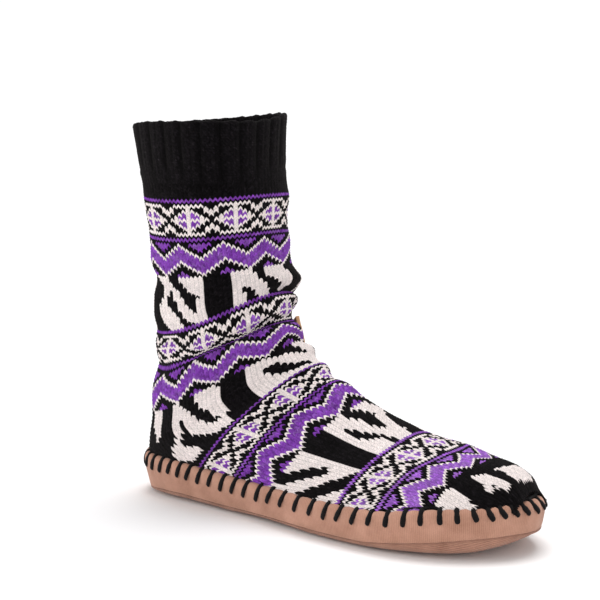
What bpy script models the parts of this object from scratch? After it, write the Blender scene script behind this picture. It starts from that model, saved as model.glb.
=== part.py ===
"""Slipper sock for the right foot: a knitted upper on a padded fabric sole.

Metres, +Z up, the toe towards +X and the inner side of the foot towards +Y.
The tables below are in millimetres.
"""
import bpy
import bmesh
import numpy as np
from math import pi, radians

for old in list(bpy.data.objects):
    bpy.data.objects.remove(old, do_unlink=True)

PARTS = bpy.data.collections.new("slipper_sock")
CUTTERS = bpy.data.collections.new("cutters")
bpy.context.scene.collection.children.link(PARTS)
bpy.context.scene.collection.children.link(CUTTERS)

MM = 0.001
GAP = 0.3

# Outline of the sole at its widest, seen from above, in millimetres from the back of the heel.
OUTLINE_COLUMNS = ("station", "lateral", "medial")
OUTLINE = (
    (3.0, 12.0, 12.0),
    (12.0, 22.5, 23.0),
    (30.0, 28.5, 29.5),
    (60.0, 30.5, 31.0),
    (95.0, 33.5, 31.0),
    (125.0, 38.0, 32.5),
    (150.0, 42.0, 37.0),
    (172.0, 44.5, 42.5),
    (195.0, 45.0, 46.5),
    (215.0, 42.0, 46.0),
    (232.0, 35.5, 41.5),
    (246.0, 25.5, 32.5),
    (256.5, 12.5, 21.5),
)
HEEL_TIP = (0.0, 0.0)
TOE_TIP = (262.0, 5.0)

# Height of the band's upper edge above the floor along the foot.
EDGE_COLUMNS = ("station", "height")
BAND_EDGE = ((-10.0, 24.0), (30.0, 24.0), (60.0, 22.5), (100.0, 21.0), (150.0, 20.5),
             (190.0, 21.5), (220.0, 25.5), (245.0, 27.5), (262.0, 28.5), (275.0, 28.5))


def monotone(xs, ys, x):
    """Monotone cubic through a short table, with flat ends outside it."""
    xs = np.asarray(xs, float)
    ys = np.asarray(ys, float)
    h = np.diff(xs)
    d = np.diff(ys) / h
    m = np.zeros(len(xs))
    for i in range(1, len(xs) - 1):
        if d[i - 1] * d[i] > 0.0:
            w1 = 2.0 * h[i] + h[i - 1]
            w2 = h[i] + 2.0 * h[i - 1]
            m[i] = (w1 + w2) / (w1 / d[i - 1] + w2 / d[i])

    def end(h0, h1, d0, d1):
        e = ((2.0 * h0 + h1) * d0 - h0 * d1) / (h0 + h1)
        if e * d0 <= 0.0:
            return 0.0
        if d0 * d1 <= 0.0 and abs(e) > 3.0 * abs(d0):
            return 3.0 * d0
        return e

    m[0] = end(h[0], h[1], d[0], d[1])
    m[-1] = end(h[-1], h[-2], d[-1], d[-2])
    x = np.clip(np.asarray(x, float), xs[0], xs[-1])
    i = np.clip(np.searchsorted(xs, x, side="right") - 1, 0, len(h) - 1)
    t = (x - xs[i]) / h[i]
    return ((1 + 2 * t) * (1 - t) ** 2 * ys[i] + t * (1 - t) ** 2 * h[i] * m[i]
            + t * t * (3 - 2 * t) * ys[i + 1] + t * t * (t - 1) * h[i] * m[i + 1])


def outline_loop(count, inset=0.0):
    """Closed outline as count points, lateral side first, moved in along its normals."""
    pts = [HEEL_TIP]
    pts += [(r[0], -r[1]) for r in OUTLINE]
    pts += [TOE_TIP]
    pts += [(r[0], r[2]) for r in reversed(OUTLINE)]
    p = np.array(pts)
    n = len(p)
    dense = []
    for i in range(n):
        p0, p1, p2, p3 = p[i - 1], p[i], p[(i + 1) % n], p[(i + 2) % n]
        t0 = 0.0
        t1 = t0 + np.linalg.norm(p1 - p0) ** 0.5
        t2 = t1 + np.linalg.norm(p2 - p1) ** 0.5
        t3 = t2 + np.linalg.norm(p3 - p2) ** 0.5
        for t in np.linspace(t1, t2, 24, endpoint=False):
            a1 = (t1 - t) / (t1 - t0) * p0 + (t - t0) / (t1 - t0) * p1
            a2 = (t2 - t) / (t2 - t1) * p1 + (t - t1) / (t2 - t1) * p2
            a3 = (t3 - t) / (t3 - t2) * p2 + (t - t2) / (t3 - t2) * p3
            b1 = (t2 - t) / (t2 - t0) * a1 + (t - t0) / (t2 - t0) * a2
            b2 = (t3 - t) / (t3 - t1) * a2 + (t - t1) / (t3 - t1) * a3
            dense.append((t2 - t) / (t2 - t1) * b1 + (t - t1) / (t2 - t1) * b2)
    q = np.array(dense)
    for _ in range(10):
        q = 0.25 * np.roll(q, 1, 0) + 0.5 * q + 0.25 * np.roll(q, -1, 0)
    tan = np.roll(q, -1, 0) - np.roll(q, 1, 0)
    tan /= np.linalg.norm(tan, axis=1)[:, None]
    nrm = np.stack([tan[:, 1], -tan[:, 0]], axis=1)
    step = np.r_[0.0, np.cumsum(np.linalg.norm(np.roll(q, -1, 0) - q, axis=1))]
    s = np.linspace(0.0, step[-1], count, endpoint=False)
    qc = np.vstack([q, q[:1]])
    nc = np.vstack([nrm, nrm[:1]])
    px = np.interp(s, step, qc[:, 0])
    py = np.interp(s, step, qc[:, 1])
    nx = np.interp(s, step, nc[:, 0])
    ny = np.interp(s, step, nc[:, 1])
    k = np.hypot(nx, ny)
    inset = np.asarray(inset, float)
    return np.stack([px - inset * nx / k, py - inset * ny / k], axis=1)


_sides = {}


def sides(x, inset):
    """Lateral and medial half widths of the outline at one station, moved in by inset."""
    key = round(float(inset), 4)
    if key not in _sides:
        q = outline_loop(720, key)
        toe = int(q[:, 0].argmax())
        heel = int(q[:, 0].argmin())
        q = np.roll(q, -heel, axis=0)
        toe = int(q[:, 0].argmax())
        lat = q[:toe + 1]
        med = np.vstack([q[toe:], q[:1]])[::-1]
        _sides[key] = (lat, med)
    lat, med = _sides[key]
    return (-float(np.interp(x, lat[:, 0], lat[:, 1])),
            float(np.interp(x, med[:, 0], med[:, 1])))


def band_edge(x):
    return monotone([r[0] for r in BAND_EDGE], [r[1] for r in BAND_EDGE], x)

# ---------------------------------------------------------------- named sizes
ORIGIN = (131.16, 0.81)  # middle of the shoe's box in the tables' own measure
KNIT_WALL = 2.6         # knitted wall of the upper
KNIT_INSET = 3.0        # how far the upper's outside stands in from the band's outside
BAND_THICK = 6.0        # padded side band
SOLE_THICK = 7.0        # padded bottom panel
INSOLE_THICK = 4.0      # foam footbed
TOE_SPRING = 6.5        # lift of the toe tip above the floor
SPRING_START = 198.0    # station where the toe starts to lift
ARCH_LIFT = 1.6         # lift of the waist between heel and ball
ARCH_SPAN = (76.0, 152.0)
RING_SIDES = 48         # points around one knitted ring

# Sections of the knitted tube. A section is a plane through one knitted row: it runs from a
# front point (top of the foot) to a back point (heel or under the foot), with a half width,
# the ridge's sideways place, where the section is widest, how square it is before and after
# that place, and how far it bows. Below the band's edge the half widths follow the outline.
SECTION_COLUMNS = ("row", "front_x", "front_z", "back_x", "back_z", "half_width",
                   "ridge_y", "widest_at", "front_power", "back_power", "bow")
SECTIONS = (
    (-30.0, 88.2, 219.1, 2.2, 218.5, 40.7, 0.0, 0.50, 2.3, 2.3, 0.0),
    (-12.0, 87.0, 194.8, 7.3, 194.3, 40.0, 0.0, 0.50, 2.3, 2.3, 0.0),
    (0.0, 88.3, 179.6, 10.9, 178.0, 40.4, 0.0, 0.50, 2.3, 2.3, -2.0),
    (14.0, 88.6, 158.7, 13.5, 156.7, 38.6, 0.0, 0.50, 2.3, 2.3, -2.7),
    (34.0, 93.6, 133.4, 18.0, 123.8, 38.6, 0.0, 0.50, 2.3, 2.3, -4.0),
    (48.0, 95.6, 124.6, 14.6, 99.1, 37.2, 0.0, 0.50, 2.3, 2.2, -7.2),
    (62.0, 99.0, 113.0, 12.2, 79.0, 35.6, 0.0, 0.49, 2.2, 2.0, -5.9),
    (76.0, 108.6, 94.5, 5.0, 45.9, 35.5, 1.0, 0.47, 2.1, 1.9, -4.9),
    (86.0, 114.3, 89.0, 3.2, 20.0, 35.5, 1.0, 0.45, 2.1, 2.15, -2.5),
    (96.0, 120.0, 84.3, 27.7, -6.0, 36.0, 2.0, 0.42, 2.0, 1.6, -0.6),
    (110.0, 135.0, 76.6, 65.4, -8.0, 36.0, 3.0, 0.52, 2.0, 2.2, 1.8),
    (127.0, 159.0, 65.0, 109.6, -8.0, 36.0, 4.0, 0.66, 2.05, 2.6, 2.5),
    (144.0, 188.2, 54.9, 154.3, -8.0, 36.0, 4.0, 0.75, 2.1, 3.0, 4.3),
    (158.0, 211.5, 50.6, 188.2, -8.0, 36.0, 4.0, 0.75, 2.1, 3.0, 7.6),
    (172.0, 228.8, 46.6, 218.3, -8.0, 36.0, 4.0, 0.75, 2.1, 3.0, 4.4),
    (182.0, 241.4, 43.7, 239.1, -8.0, 36.0, 5.0, 0.75, 2.1, 3.0, 1.1),
    (188.0, 251.0, 40.6, 251.0, -8.0, 36.0, 6.0, 0.75, 2.1, 3.0, 0.0),
    (191.0, 256.5, 34.0, 256.5, -8.0, 36.0, 5.5, 0.75, 2.0, 3.0, 0.0),
    (192.3, 258.7, 29.5, 258.7, -8.0, 36.0, 5.0, 0.75, 2.0, 3.0, 0.0),
)
RING_ROWS = (-30, -21, -12, -6, 0, 7, 14, 24, 34, 41, 48, 55, 62, 69, 76, 81, 86, 91, 96,
             103, 110, 118, 127, 136, 144, 151, 158, 165, 172, 177, 182, 185, 188, 190,
             191.3, 192.3)

# Side band: how far each corner of its section stands in from the outline and how high it is
# between the panel (0) and the band's edge (1).
BAND_COLUMNS = ("inset", "rise")
BAND_SECTION = ((2.6, 0.00), (1.4, 0.22), (0.4, 0.55), (0.0, 0.82), (0.7, 0.96), (2.0, 1.00),
                (BAND_THICK, 1.00), (BAND_THICK + 0.6, 0.50), (BAND_THICK + 1.0, 0.00))
HEEL_TAPER = 2.2        # the band's foot stands in further round the heel
BAND_POINTS = 96

# Bottom panel: inset of each layer's outline, and its height above the panel's underside.
PANEL_COLUMNS = ("inset", "height")
PANEL_LAYERS = ((6.2, 0.0), (4.0, 0.9), (2.9, 2.6), (2.5, 4.6), (2.6, SOLE_THICK))


def column(name):
    return [row[SECTION_COLUMNS.index(name)] for row in SECTIONS]


def section_at(row):
    rows = column("row")
    return {name: float(monotone(rows, column(name), row)) for name in SECTION_COLUMNS[1:]}


def spring(x):
    """Height of the panel's underside: flat at heel and ball, lifted at waist and toe."""
    x = np.asarray(x, float)
    toe = np.clip((x - SPRING_START) / (TOE_TIP[0] - SPRING_START), 0.0, 1.0) ** 1.7
    a, b = ARCH_SPAN
    arch = np.clip((x - a) / (b - a), 0.0, 1.0)
    return TOE_SPRING * toe + ARCH_LIFT * np.sin(pi * arch) ** 2


def width_profile(t, widest, front_power, back_power):
    t = np.clip(t, 0.0, 1.0)
    front = np.clip(1.0 - np.abs(1.0 - t / widest) ** front_power, 0.0, 1.0) ** (1.0 / front_power)
    back = np.clip(1.0 - np.abs((t - widest) / (1.0 - widest)) ** back_power,
                   0.0, 1.0) ** (1.0 / back_power)
    return np.where(t < widest, front, back)


def knitted_ring(row, wall, sides_count):
    """One closed ring of the tube, moved in by wall: sides_count points in millimetres."""
    s = section_at(row)
    fx, fz, bx, bz = s["front_x"], s["front_z"], s["back_x"], s["back_z"]
    dx, dz = bx - fx, bz - fz
    length = float(np.hypot(dx, dz))
    fx, fz = fx + wall * dx / length, fz + wall * dz / length
    bx, bz = bx - wall * dx / length, bz - wall * dz / length
    dx, dz = bx - fx, bz - fz
    length = float(np.hypot(dx, dz))

    def along(t):
        bow = s["bow"] * 4.0 * t * (1.0 - t)
        x = fx + dx * t + bow * dz / length
        z = fz + dz * t - bow * dx / length
        return x - wall * np.clip((x - 205.0) / 45.0, 0.0, 1.0), z

    lateral = medial = s["half_width"] - wall
    probe = np.linspace(0.0, 1.0, 80)
    px, pz = along(probe)
    above = pz - band_edge(px)
    if above[-1] < 0.0:
        t_edge = float(np.interp(0.0, -above, probe))
        x_edge = float(along(t_edge)[0])
        out_lat, out_med = sides(x_edge, KNIT_INSET + wall)
        share = float(width_profile(t_edge, s["widest_at"], s["front_power"], s["back_power"]))
        held = float(np.clip(share / 0.7, 0.0, 1.0)) ** 2
        share = max(share, 0.15)
        lateral += held * ((out_lat + s["ridge_y"]) / share - s["ridge_y"] - lateral)
        medial += held * ((out_med - s["ridge_y"]) / share + s["ridge_y"] - medial)
    phi = np.arange(sides_count) * 2.0 * pi / sides_count
    t = (1.0 - np.cos(phi)) / 2.0
    x, z = along(t)
    share = width_profile(t, s["widest_at"], s["front_power"], s["back_power"])
    ridge = s["ridge_y"]
    y = np.where(np.sin(phi) >= 0.0, ridge - (ridge + lateral) * share,
                 ridge + (medial - ridge) * share)
    return np.stack([x, y, z], axis=1)


# ---------------------------------------------------------------- mesh helpers
def material(name, colour, roughness, metallic=0.0):
    mat = bpy.data.materials.new(name)
    mat.use_nodes = True
    shader = mat.node_tree.nodes["Principled BSDF"]
    shader.inputs["Base Color"].default_value = (*colour, 1.0)
    shader.inputs["Roughness"].default_value = roughness
    shader.inputs["Metallic"].default_value = metallic
    mat.diffuse_color = (*colour, 1.0)
    return mat


def place(x, y, z):
    """A point of the tables, in metres from the middle of the shoe's box on the floor."""
    return ((float(x) - ORIGIN[0]) * MM, (float(y) - ORIGIN[1]) * MM, float(z) * MM)


def add_object(name, bm, collection, mat=None, smooth=True):
    bmesh.ops.recalc_face_normals(bm, faces=bm.faces[:])
    mesh = bpy.data.meshes.new(name)
    bm.to_mesh(mesh)
    bm.free()
    if mat is not None:
        mesh.materials.append(mat)
    mesh.polygons.foreach_set("use_smooth", [smooth] * len(mesh.polygons))
    obj = bpy.data.objects.new(name, mesh)
    collection.objects.link(obj)
    return obj


def as_cutter(obj):
    obj.hide_render = True
    obj.display_type = "WIRE"
    return obj


def cut(target, tool):
    mod = target.modifiers.new("cut_" + tool.name, "BOOLEAN")
    mod.operation = "DIFFERENCE"
    mod.solver = "EXACT"
    mod.object = tool


def loft(rings, close_ends):
    """Quads between closed rings of equal count; points in millimetres."""
    bm = bmesh.new()
    rows = [[bm.verts.new(place(*p)) for p in ring] for ring in rings]
    count = len(rows[0])
    for a, b in zip(rows, rows[1:]):
        for i in range(count):
            j = (i + 1) % count
            bm.faces.new((a[i], a[j], b[j], b[i]))
    if close_ends:
        bm.faces.new(rows[0])
        bm.faces.new(rows[-1])
    return bm


def band_loop(inset_at_side, heel_extra, count):
    """Outline loop whose inset grows by heel_extra towards the back of the heel."""
    base = outline_loop(count)
    heel = np.clip((60.0 - base[:, 0]) / 60.0, 0.0, 1.0) ** 1.3
    return outline_loop(count, inset_at_side + heel_extra * heel)


# ---------------------------------------------------------------- upper
def build_upper():
    knit = material("knit_black", (0.02, 0.018, 0.022), 0.95)
    outer = [knitted_ring(r, 0.0, RING_SIDES) for r in RING_ROWS]
    upper = add_object("upper", loft(outer, True), PARTS, knit)

    inner_rows = [r for r in RING_ROWS]
    inner = [knitted_ring(r, KNIT_WALL, RING_SIDES) for r in inner_rows]
    lift = inner[0] - (inner[1] - inner[0]) * 0.5
    space = add_object("foot_space", loft([lift] + inner, True), CUTTERS)
    cut(upper, as_cutter(space))

    # everything below the band's edge is cut away, which leaves the upper open underneath
    bm = bmesh.new()
    stations = np.linspace(-30.0, 300.0, 67)
    top = [(float(x), float(band_edge(x)) + GAP) for x in stations]
    profile = top + [(300.0, -40.0), (-30.0, -40.0)]
    face = bm.faces.new([bm.verts.new(place(x, -100.0, z)) for x, z in profile])
    made = bmesh.ops.extrude_face_region(bm, geom=[face])
    moved = [g for g in made["geom"] if isinstance(g, bmesh.types.BMVert)]
    bmesh.ops.translate(bm, verts=moved, vec=(0.0, 0.2, 0.0))
    below = add_object("below_band_edge", bm, CUTTERS, smooth=False)
    cut(upper, as_cutter(below))
    return upper


# ---------------------------------------------------------------- side band
def build_side_band():
    tan = material("band_fabric", (0.50, 0.30, 0.22), 0.9)
    loops = []
    for inset, rise in BAND_SECTION:
        outward = inset < BAND_THICK
        taper = HEEL_TAPER * (1.0 - rise) if outward else 0.0
        flat = band_loop(inset, taper, BAND_POINTS)
        low = spring(flat[:, 0]) + SOLE_THICK + GAP
        high = band_edge(flat[:, 0])
        loops.append(np.column_stack([flat, low + (high - low) * rise]))
    bm = loft(loops + [loops[0]], False)
    bmesh.ops.remove_doubles(bm, verts=bm.verts[:], dist=1e-7)
    return add_object("side_band", bm, PARTS, tan)


# ---------------------------------------------------------------- flat panels
def panel(name, layers, lift, mat, heel_extra, stations):
    """Outline layers stacked into a flat pad, cut across at stations, then bent to the sole."""
    loops = []
    for inset, height in layers:
        flat = band_loop(inset, heel_extra, BAND_POINTS)
        loops.append(np.column_stack([flat, np.full(len(flat), height)]))
    bm = loft(loops, True)
    for x in stations:
        bmesh.ops.bisect_plane(bm, geom=bm.verts[:] + bm.edges[:] + bm.faces[:], dist=1e-6,
                               plane_co=place(x, 0.0, 0.0), plane_no=(1.0, 0.0, 0.0))
    for v in bm.verts:
        v.co.z += (float(spring(v.co.x / MM + ORIGIN[0])) + lift) * MM
    bmesh.ops.triangulate(bm, faces=[f for f in bm.faces if len(f.verts) > 4])
    return add_object(name, bm, PARTS, mat)


def build_soles():
    tan = material("panel_fabric", (0.48, 0.29, 0.21), 0.9)
    foam = material("footbed_fabric", (0.10, 0.09, 0.10), 0.95)
    stations = [82.0, 90.0, 98.0, 106.0, 114.0, 122.0, 130.0, 138.0, 146.0, 152.0,
                198.0, 207.0, 216.0, 225.0, 234.0, 243.0, 251.0]
    panel("outsole", PANEL_LAYERS, 0.0, tan, HEEL_TAPER, stations)
    inset = BAND_THICK + 1.0 + GAP
    layers = ((inset, 0.0), (inset, INSOLE_THICK - 0.8), (inset + 0.8, INSOLE_THICK))
    panel("insole", layers, SOLE_THICK + GAP, foam, 0.0, stations)


build_upper()
build_side_band()
build_soles()
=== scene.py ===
"""Looks of the slipper sock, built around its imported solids.

Tables are in millimetres: x from the back of the heel, y towards the inner side, z up.
"""
import bpy
import numpy as np
from math import pi, sin, cos, radians
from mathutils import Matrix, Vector


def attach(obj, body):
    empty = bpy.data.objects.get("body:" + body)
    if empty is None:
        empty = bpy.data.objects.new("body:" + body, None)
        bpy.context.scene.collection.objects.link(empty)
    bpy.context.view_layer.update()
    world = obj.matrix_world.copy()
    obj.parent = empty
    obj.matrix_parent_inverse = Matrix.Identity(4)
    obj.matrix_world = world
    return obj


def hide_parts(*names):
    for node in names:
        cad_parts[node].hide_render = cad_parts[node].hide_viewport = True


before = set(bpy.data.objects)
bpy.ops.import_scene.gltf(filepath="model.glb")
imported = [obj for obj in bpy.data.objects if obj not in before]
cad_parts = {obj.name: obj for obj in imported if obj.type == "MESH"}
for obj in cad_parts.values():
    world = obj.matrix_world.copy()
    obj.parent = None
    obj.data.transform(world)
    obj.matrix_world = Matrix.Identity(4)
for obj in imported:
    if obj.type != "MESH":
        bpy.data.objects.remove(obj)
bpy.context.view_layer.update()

MM = 0.001
GAP = 0.3

# Outline of the sole at its widest, seen from above, in millimetres from the back of the heel.
OUTLINE_COLUMNS = ("station", "lateral", "medial")
OUTLINE = (
    (3.0, 12.0, 12.0),
    (12.0, 22.5, 23.0),
    (30.0, 28.5, 29.5),
    (60.0, 30.5, 31.0),
    (95.0, 33.5, 31.0),
    (125.0, 38.0, 32.5),
    (150.0, 42.0, 37.0),
    (172.0, 44.5, 42.5),
    (195.0, 45.0, 46.5),
    (215.0, 42.0, 46.0),
    (232.0, 35.5, 41.5),
    (246.0, 25.5, 32.5),
    (256.5, 12.5, 21.5),
)
HEEL_TIP = (0.0, 0.0)
TOE_TIP = (262.0, 5.0)

# Height of the band's upper edge above the floor along the foot.
EDGE_COLUMNS = ("station", "height")
BAND_EDGE = ((-10.0, 24.0), (30.0, 24.0), (60.0, 22.5), (100.0, 21.0), (150.0, 20.5),
             (190.0, 21.5), (220.0, 25.5), (245.0, 27.5), (262.0, 28.5), (275.0, 28.5))


def monotone(xs, ys, x):
    """Monotone cubic through a short table, with flat ends outside it."""
    xs = np.asarray(xs, float)
    ys = np.asarray(ys, float)
    h = np.diff(xs)
    d = np.diff(ys) / h
    m = np.zeros(len(xs))
    for i in range(1, len(xs) - 1):
        if d[i - 1] * d[i] > 0.0:
            w1 = 2.0 * h[i] + h[i - 1]
            w2 = h[i] + 2.0 * h[i - 1]
            m[i] = (w1 + w2) / (w1 / d[i - 1] + w2 / d[i])

    def end(h0, h1, d0, d1):
        e = ((2.0 * h0 + h1) * d0 - h0 * d1) / (h0 + h1)
        if e * d0 <= 0.0:
            return 0.0
        if d0 * d1 <= 0.0 and abs(e) > 3.0 * abs(d0):
            return 3.0 * d0
        return e

    m[0] = end(h[0], h[1], d[0], d[1])
    m[-1] = end(h[-1], h[-2], d[-1], d[-2])
    x = np.clip(np.asarray(x, float), xs[0], xs[-1])
    i = np.clip(np.searchsorted(xs, x, side="right") - 1, 0, len(h) - 1)
    t = (x - xs[i]) / h[i]
    return ((1 + 2 * t) * (1 - t) ** 2 * ys[i] + t * (1 - t) ** 2 * h[i] * m[i]
            + t * t * (3 - 2 * t) * ys[i + 1] + t * t * (t - 1) * h[i] * m[i + 1])


def outline_loop(count, inset=0.0):
    """Closed outline as count points, lateral side first, moved in along its normals."""
    pts = [HEEL_TIP]
    pts += [(r[0], -r[1]) for r in OUTLINE]
    pts += [TOE_TIP]
    pts += [(r[0], r[2]) for r in reversed(OUTLINE)]
    p = np.array(pts)
    n = len(p)
    dense = []
    for i in range(n):
        p0, p1, p2, p3 = p[i - 1], p[i], p[(i + 1) % n], p[(i + 2) % n]
        t0 = 0.0
        t1 = t0 + np.linalg.norm(p1 - p0) ** 0.5
        t2 = t1 + np.linalg.norm(p2 - p1) ** 0.5
        t3 = t2 + np.linalg.norm(p3 - p2) ** 0.5
        for t in np.linspace(t1, t2, 24, endpoint=False):
            a1 = (t1 - t) / (t1 - t0) * p0 + (t - t0) / (t1 - t0) * p1
            a2 = (t2 - t) / (t2 - t1) * p1 + (t - t1) / (t2 - t1) * p2
            a3 = (t3 - t) / (t3 - t2) * p2 + (t - t2) / (t3 - t2) * p3
            b1 = (t2 - t) / (t2 - t0) * a1 + (t - t0) / (t2 - t0) * a2
            b2 = (t3 - t) / (t3 - t1) * a2 + (t - t1) / (t3 - t1) * a3
            dense.append((t2 - t) / (t2 - t1) * b1 + (t - t1) / (t2 - t1) * b2)
    q = np.array(dense)
    for _ in range(10):
        q = 0.25 * np.roll(q, 1, 0) + 0.5 * q + 0.25 * np.roll(q, -1, 0)
    tan = np.roll(q, -1, 0) - np.roll(q, 1, 0)
    tan /= np.linalg.norm(tan, axis=1)[:, None]
    nrm = np.stack([tan[:, 1], -tan[:, 0]], axis=1)
    step = np.r_[0.0, np.cumsum(np.linalg.norm(np.roll(q, -1, 0) - q, axis=1))]
    s = np.linspace(0.0, step[-1], count, endpoint=False)
    qc = np.vstack([q, q[:1]])
    nc = np.vstack([nrm, nrm[:1]])
    px = np.interp(s, step, qc[:, 0])
    py = np.interp(s, step, qc[:, 1])
    nx = np.interp(s, step, nc[:, 0])
    ny = np.interp(s, step, nc[:, 1])
    k = np.hypot(nx, ny)
    inset = np.asarray(inset, float)
    return np.stack([px - inset * nx / k, py - inset * ny / k], axis=1)


_sides = {}


def sides(x, inset):
    """Lateral and medial half widths of the outline at one station, moved in by inset."""
    key = round(float(inset), 4)
    if key not in _sides:
        q = outline_loop(720, key)
        toe = int(q[:, 0].argmax())
        heel = int(q[:, 0].argmin())
        q = np.roll(q, -heel, axis=0)
        toe = int(q[:, 0].argmax())
        lat = q[:toe + 1]
        med = np.vstack([q[toe:], q[:1]])[::-1]
        _sides[key] = (lat, med)
    lat, med = _sides[key]
    return (-float(np.interp(x, lat[:, 0], lat[:, 1])),
            float(np.interp(x, med[:, 0], med[:, 1])))


def band_edge(x):
    return monotone([r[0] for r in BAND_EDGE], [r[1] for r in BAND_EDGE], x)

# ---------------------------------------------------------------- named sizes
ORIGIN = (131.16, 0.81)  # middle of the shoe's box in the tables' own measure
KNIT_WALL = 2.6         # knitted wall of the upper
KNIT_INSET = 3.0        # how far the upper's outside stands in from the band's outside
BAND_THICK = 6.0        # padded side band
SOLE_THICK = 7.0        # padded bottom panel
INSOLE_THICK = 4.0      # foam footbed
TOE_SPRING = 6.5        # lift of the toe tip above the floor
SPRING_START = 198.0    # station where the toe starts to lift
ARCH_LIFT = 1.6         # lift of the waist between heel and ball
ARCH_SPAN = (76.0, 152.0)
RING_SIDES = 48         # points around one knitted ring

# Sections of the knitted tube. A section is a plane through one knitted row: it runs from a
# front point (top of the foot) to a back point (heel or under the foot), with a half width,
# the ridge's sideways place, where the section is widest, how square it is before and after
# that place, and how far it bows. Below the band's edge the half widths follow the outline.
SECTION_COLUMNS = ("row", "front_x", "front_z", "back_x", "back_z", "half_width",
                   "ridge_y", "widest_at", "front_power", "back_power", "bow")
SECTIONS = (
    (-30.0, 88.2, 219.1, 2.2, 218.5, 40.7, 0.0, 0.50, 2.3, 2.3, 0.0),
    (-12.0, 87.0, 194.8, 7.3, 194.3, 40.0, 0.0, 0.50, 2.3, 2.3, 0.0),
    (0.0, 88.3, 179.6, 10.9, 178.0, 40.4, 0.0, 0.50, 2.3, 2.3, -2.0),
    (14.0, 88.6, 158.7, 13.5, 156.7, 38.6, 0.0, 0.50, 2.3, 2.3, -2.7),
    (34.0, 93.6, 133.4, 18.0, 123.8, 38.6, 0.0, 0.50, 2.3, 2.3, -4.0),
    (48.0, 95.6, 124.6, 14.6, 99.1, 37.2, 0.0, 0.50, 2.3, 2.2, -7.2),
    (62.0, 99.0, 113.0, 12.2, 79.0, 35.6, 0.0, 0.49, 2.2, 2.0, -5.9),
    (76.0, 108.6, 94.5, 5.0, 45.9, 35.5, 1.0, 0.47, 2.1, 1.9, -4.9),
    (86.0, 114.3, 89.0, 3.2, 20.0, 35.5, 1.0, 0.45, 2.1, 2.15, -2.5),
    (96.0, 120.0, 84.3, 27.7, -6.0, 36.0, 2.0, 0.42, 2.0, 1.6, -0.6),
    (110.0, 135.0, 76.6, 65.4, -8.0, 36.0, 3.0, 0.52, 2.0, 2.2, 1.8),
    (127.0, 159.0, 65.0, 109.6, -8.0, 36.0, 4.0, 0.66, 2.05, 2.6, 2.5),
    (144.0, 188.2, 54.9, 154.3, -8.0, 36.0, 4.0, 0.75, 2.1, 3.0, 4.3),
    (158.0, 211.5, 50.6, 188.2, -8.0, 36.0, 4.0, 0.75, 2.1, 3.0, 7.6),
    (172.0, 228.8, 46.6, 218.3, -8.0, 36.0, 4.0, 0.75, 2.1, 3.0, 4.4),
    (182.0, 241.4, 43.7, 239.1, -8.0, 36.0, 5.0, 0.75, 2.1, 3.0, 1.1),
    (188.0, 251.0, 40.6, 251.0, -8.0, 36.0, 6.0, 0.75, 2.1, 3.0, 0.0),
    (191.0, 256.5, 34.0, 256.5, -8.0, 36.0, 5.5, 0.75, 2.0, 3.0, 0.0),
    (192.3, 258.7, 29.5, 258.7, -8.0, 36.0, 5.0, 0.75, 2.0, 3.0, 0.0),
)
RING_ROWS = (-30, -21, -12, -6, 0, 7, 14, 24, 34, 41, 48, 55, 62, 69, 76, 81, 86, 91, 96,
             103, 110, 118, 127, 136, 144, 151, 158, 165, 172, 177, 182, 185, 188, 190,
             191.3, 192.3)

# Side band: how far each corner of its section stands in from the outline and how high it is
# between the panel (0) and the band's edge (1).
BAND_COLUMNS = ("inset", "rise")
BAND_SECTION = ((2.6, 0.00), (1.4, 0.22), (0.4, 0.55), (0.0, 0.82), (0.7, 0.96), (2.0, 1.00),
                (BAND_THICK, 1.00), (BAND_THICK + 0.6, 0.50), (BAND_THICK + 1.0, 0.00))
HEEL_TAPER = 2.2        # the band's foot stands in further round the heel
BAND_POINTS = 96

# Bottom panel: inset of each layer's outline, and its height above the panel's underside.
PANEL_COLUMNS = ("inset", "height")
PANEL_LAYERS = ((6.2, 0.0), (4.0, 0.9), (2.9, 2.6), (2.5, 4.6), (2.6, SOLE_THICK))


def column(name):
    return [row[SECTION_COLUMNS.index(name)] for row in SECTIONS]


def section_at(row):
    rows = column("row")
    return {name: float(monotone(rows, column(name), row)) for name in SECTION_COLUMNS[1:]}


def spring(x):
    """Height of the panel's underside: flat at heel and ball, lifted at waist and toe."""
    x = np.asarray(x, float)
    toe = np.clip((x - SPRING_START) / (TOE_TIP[0] - SPRING_START), 0.0, 1.0) ** 1.7
    a, b = ARCH_SPAN
    arch = np.clip((x - a) / (b - a), 0.0, 1.0)
    return TOE_SPRING * toe + ARCH_LIFT * np.sin(pi * arch) ** 2


def width_profile(t, widest, front_power, back_power):
    t = np.clip(t, 0.0, 1.0)
    front = np.clip(1.0 - np.abs(1.0 - t / widest) ** front_power, 0.0, 1.0) ** (1.0 / front_power)
    back = np.clip(1.0 - np.abs((t - widest) / (1.0 - widest)) ** back_power,
                   0.0, 1.0) ** (1.0 / back_power)
    return np.where(t < widest, front, back)


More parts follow.
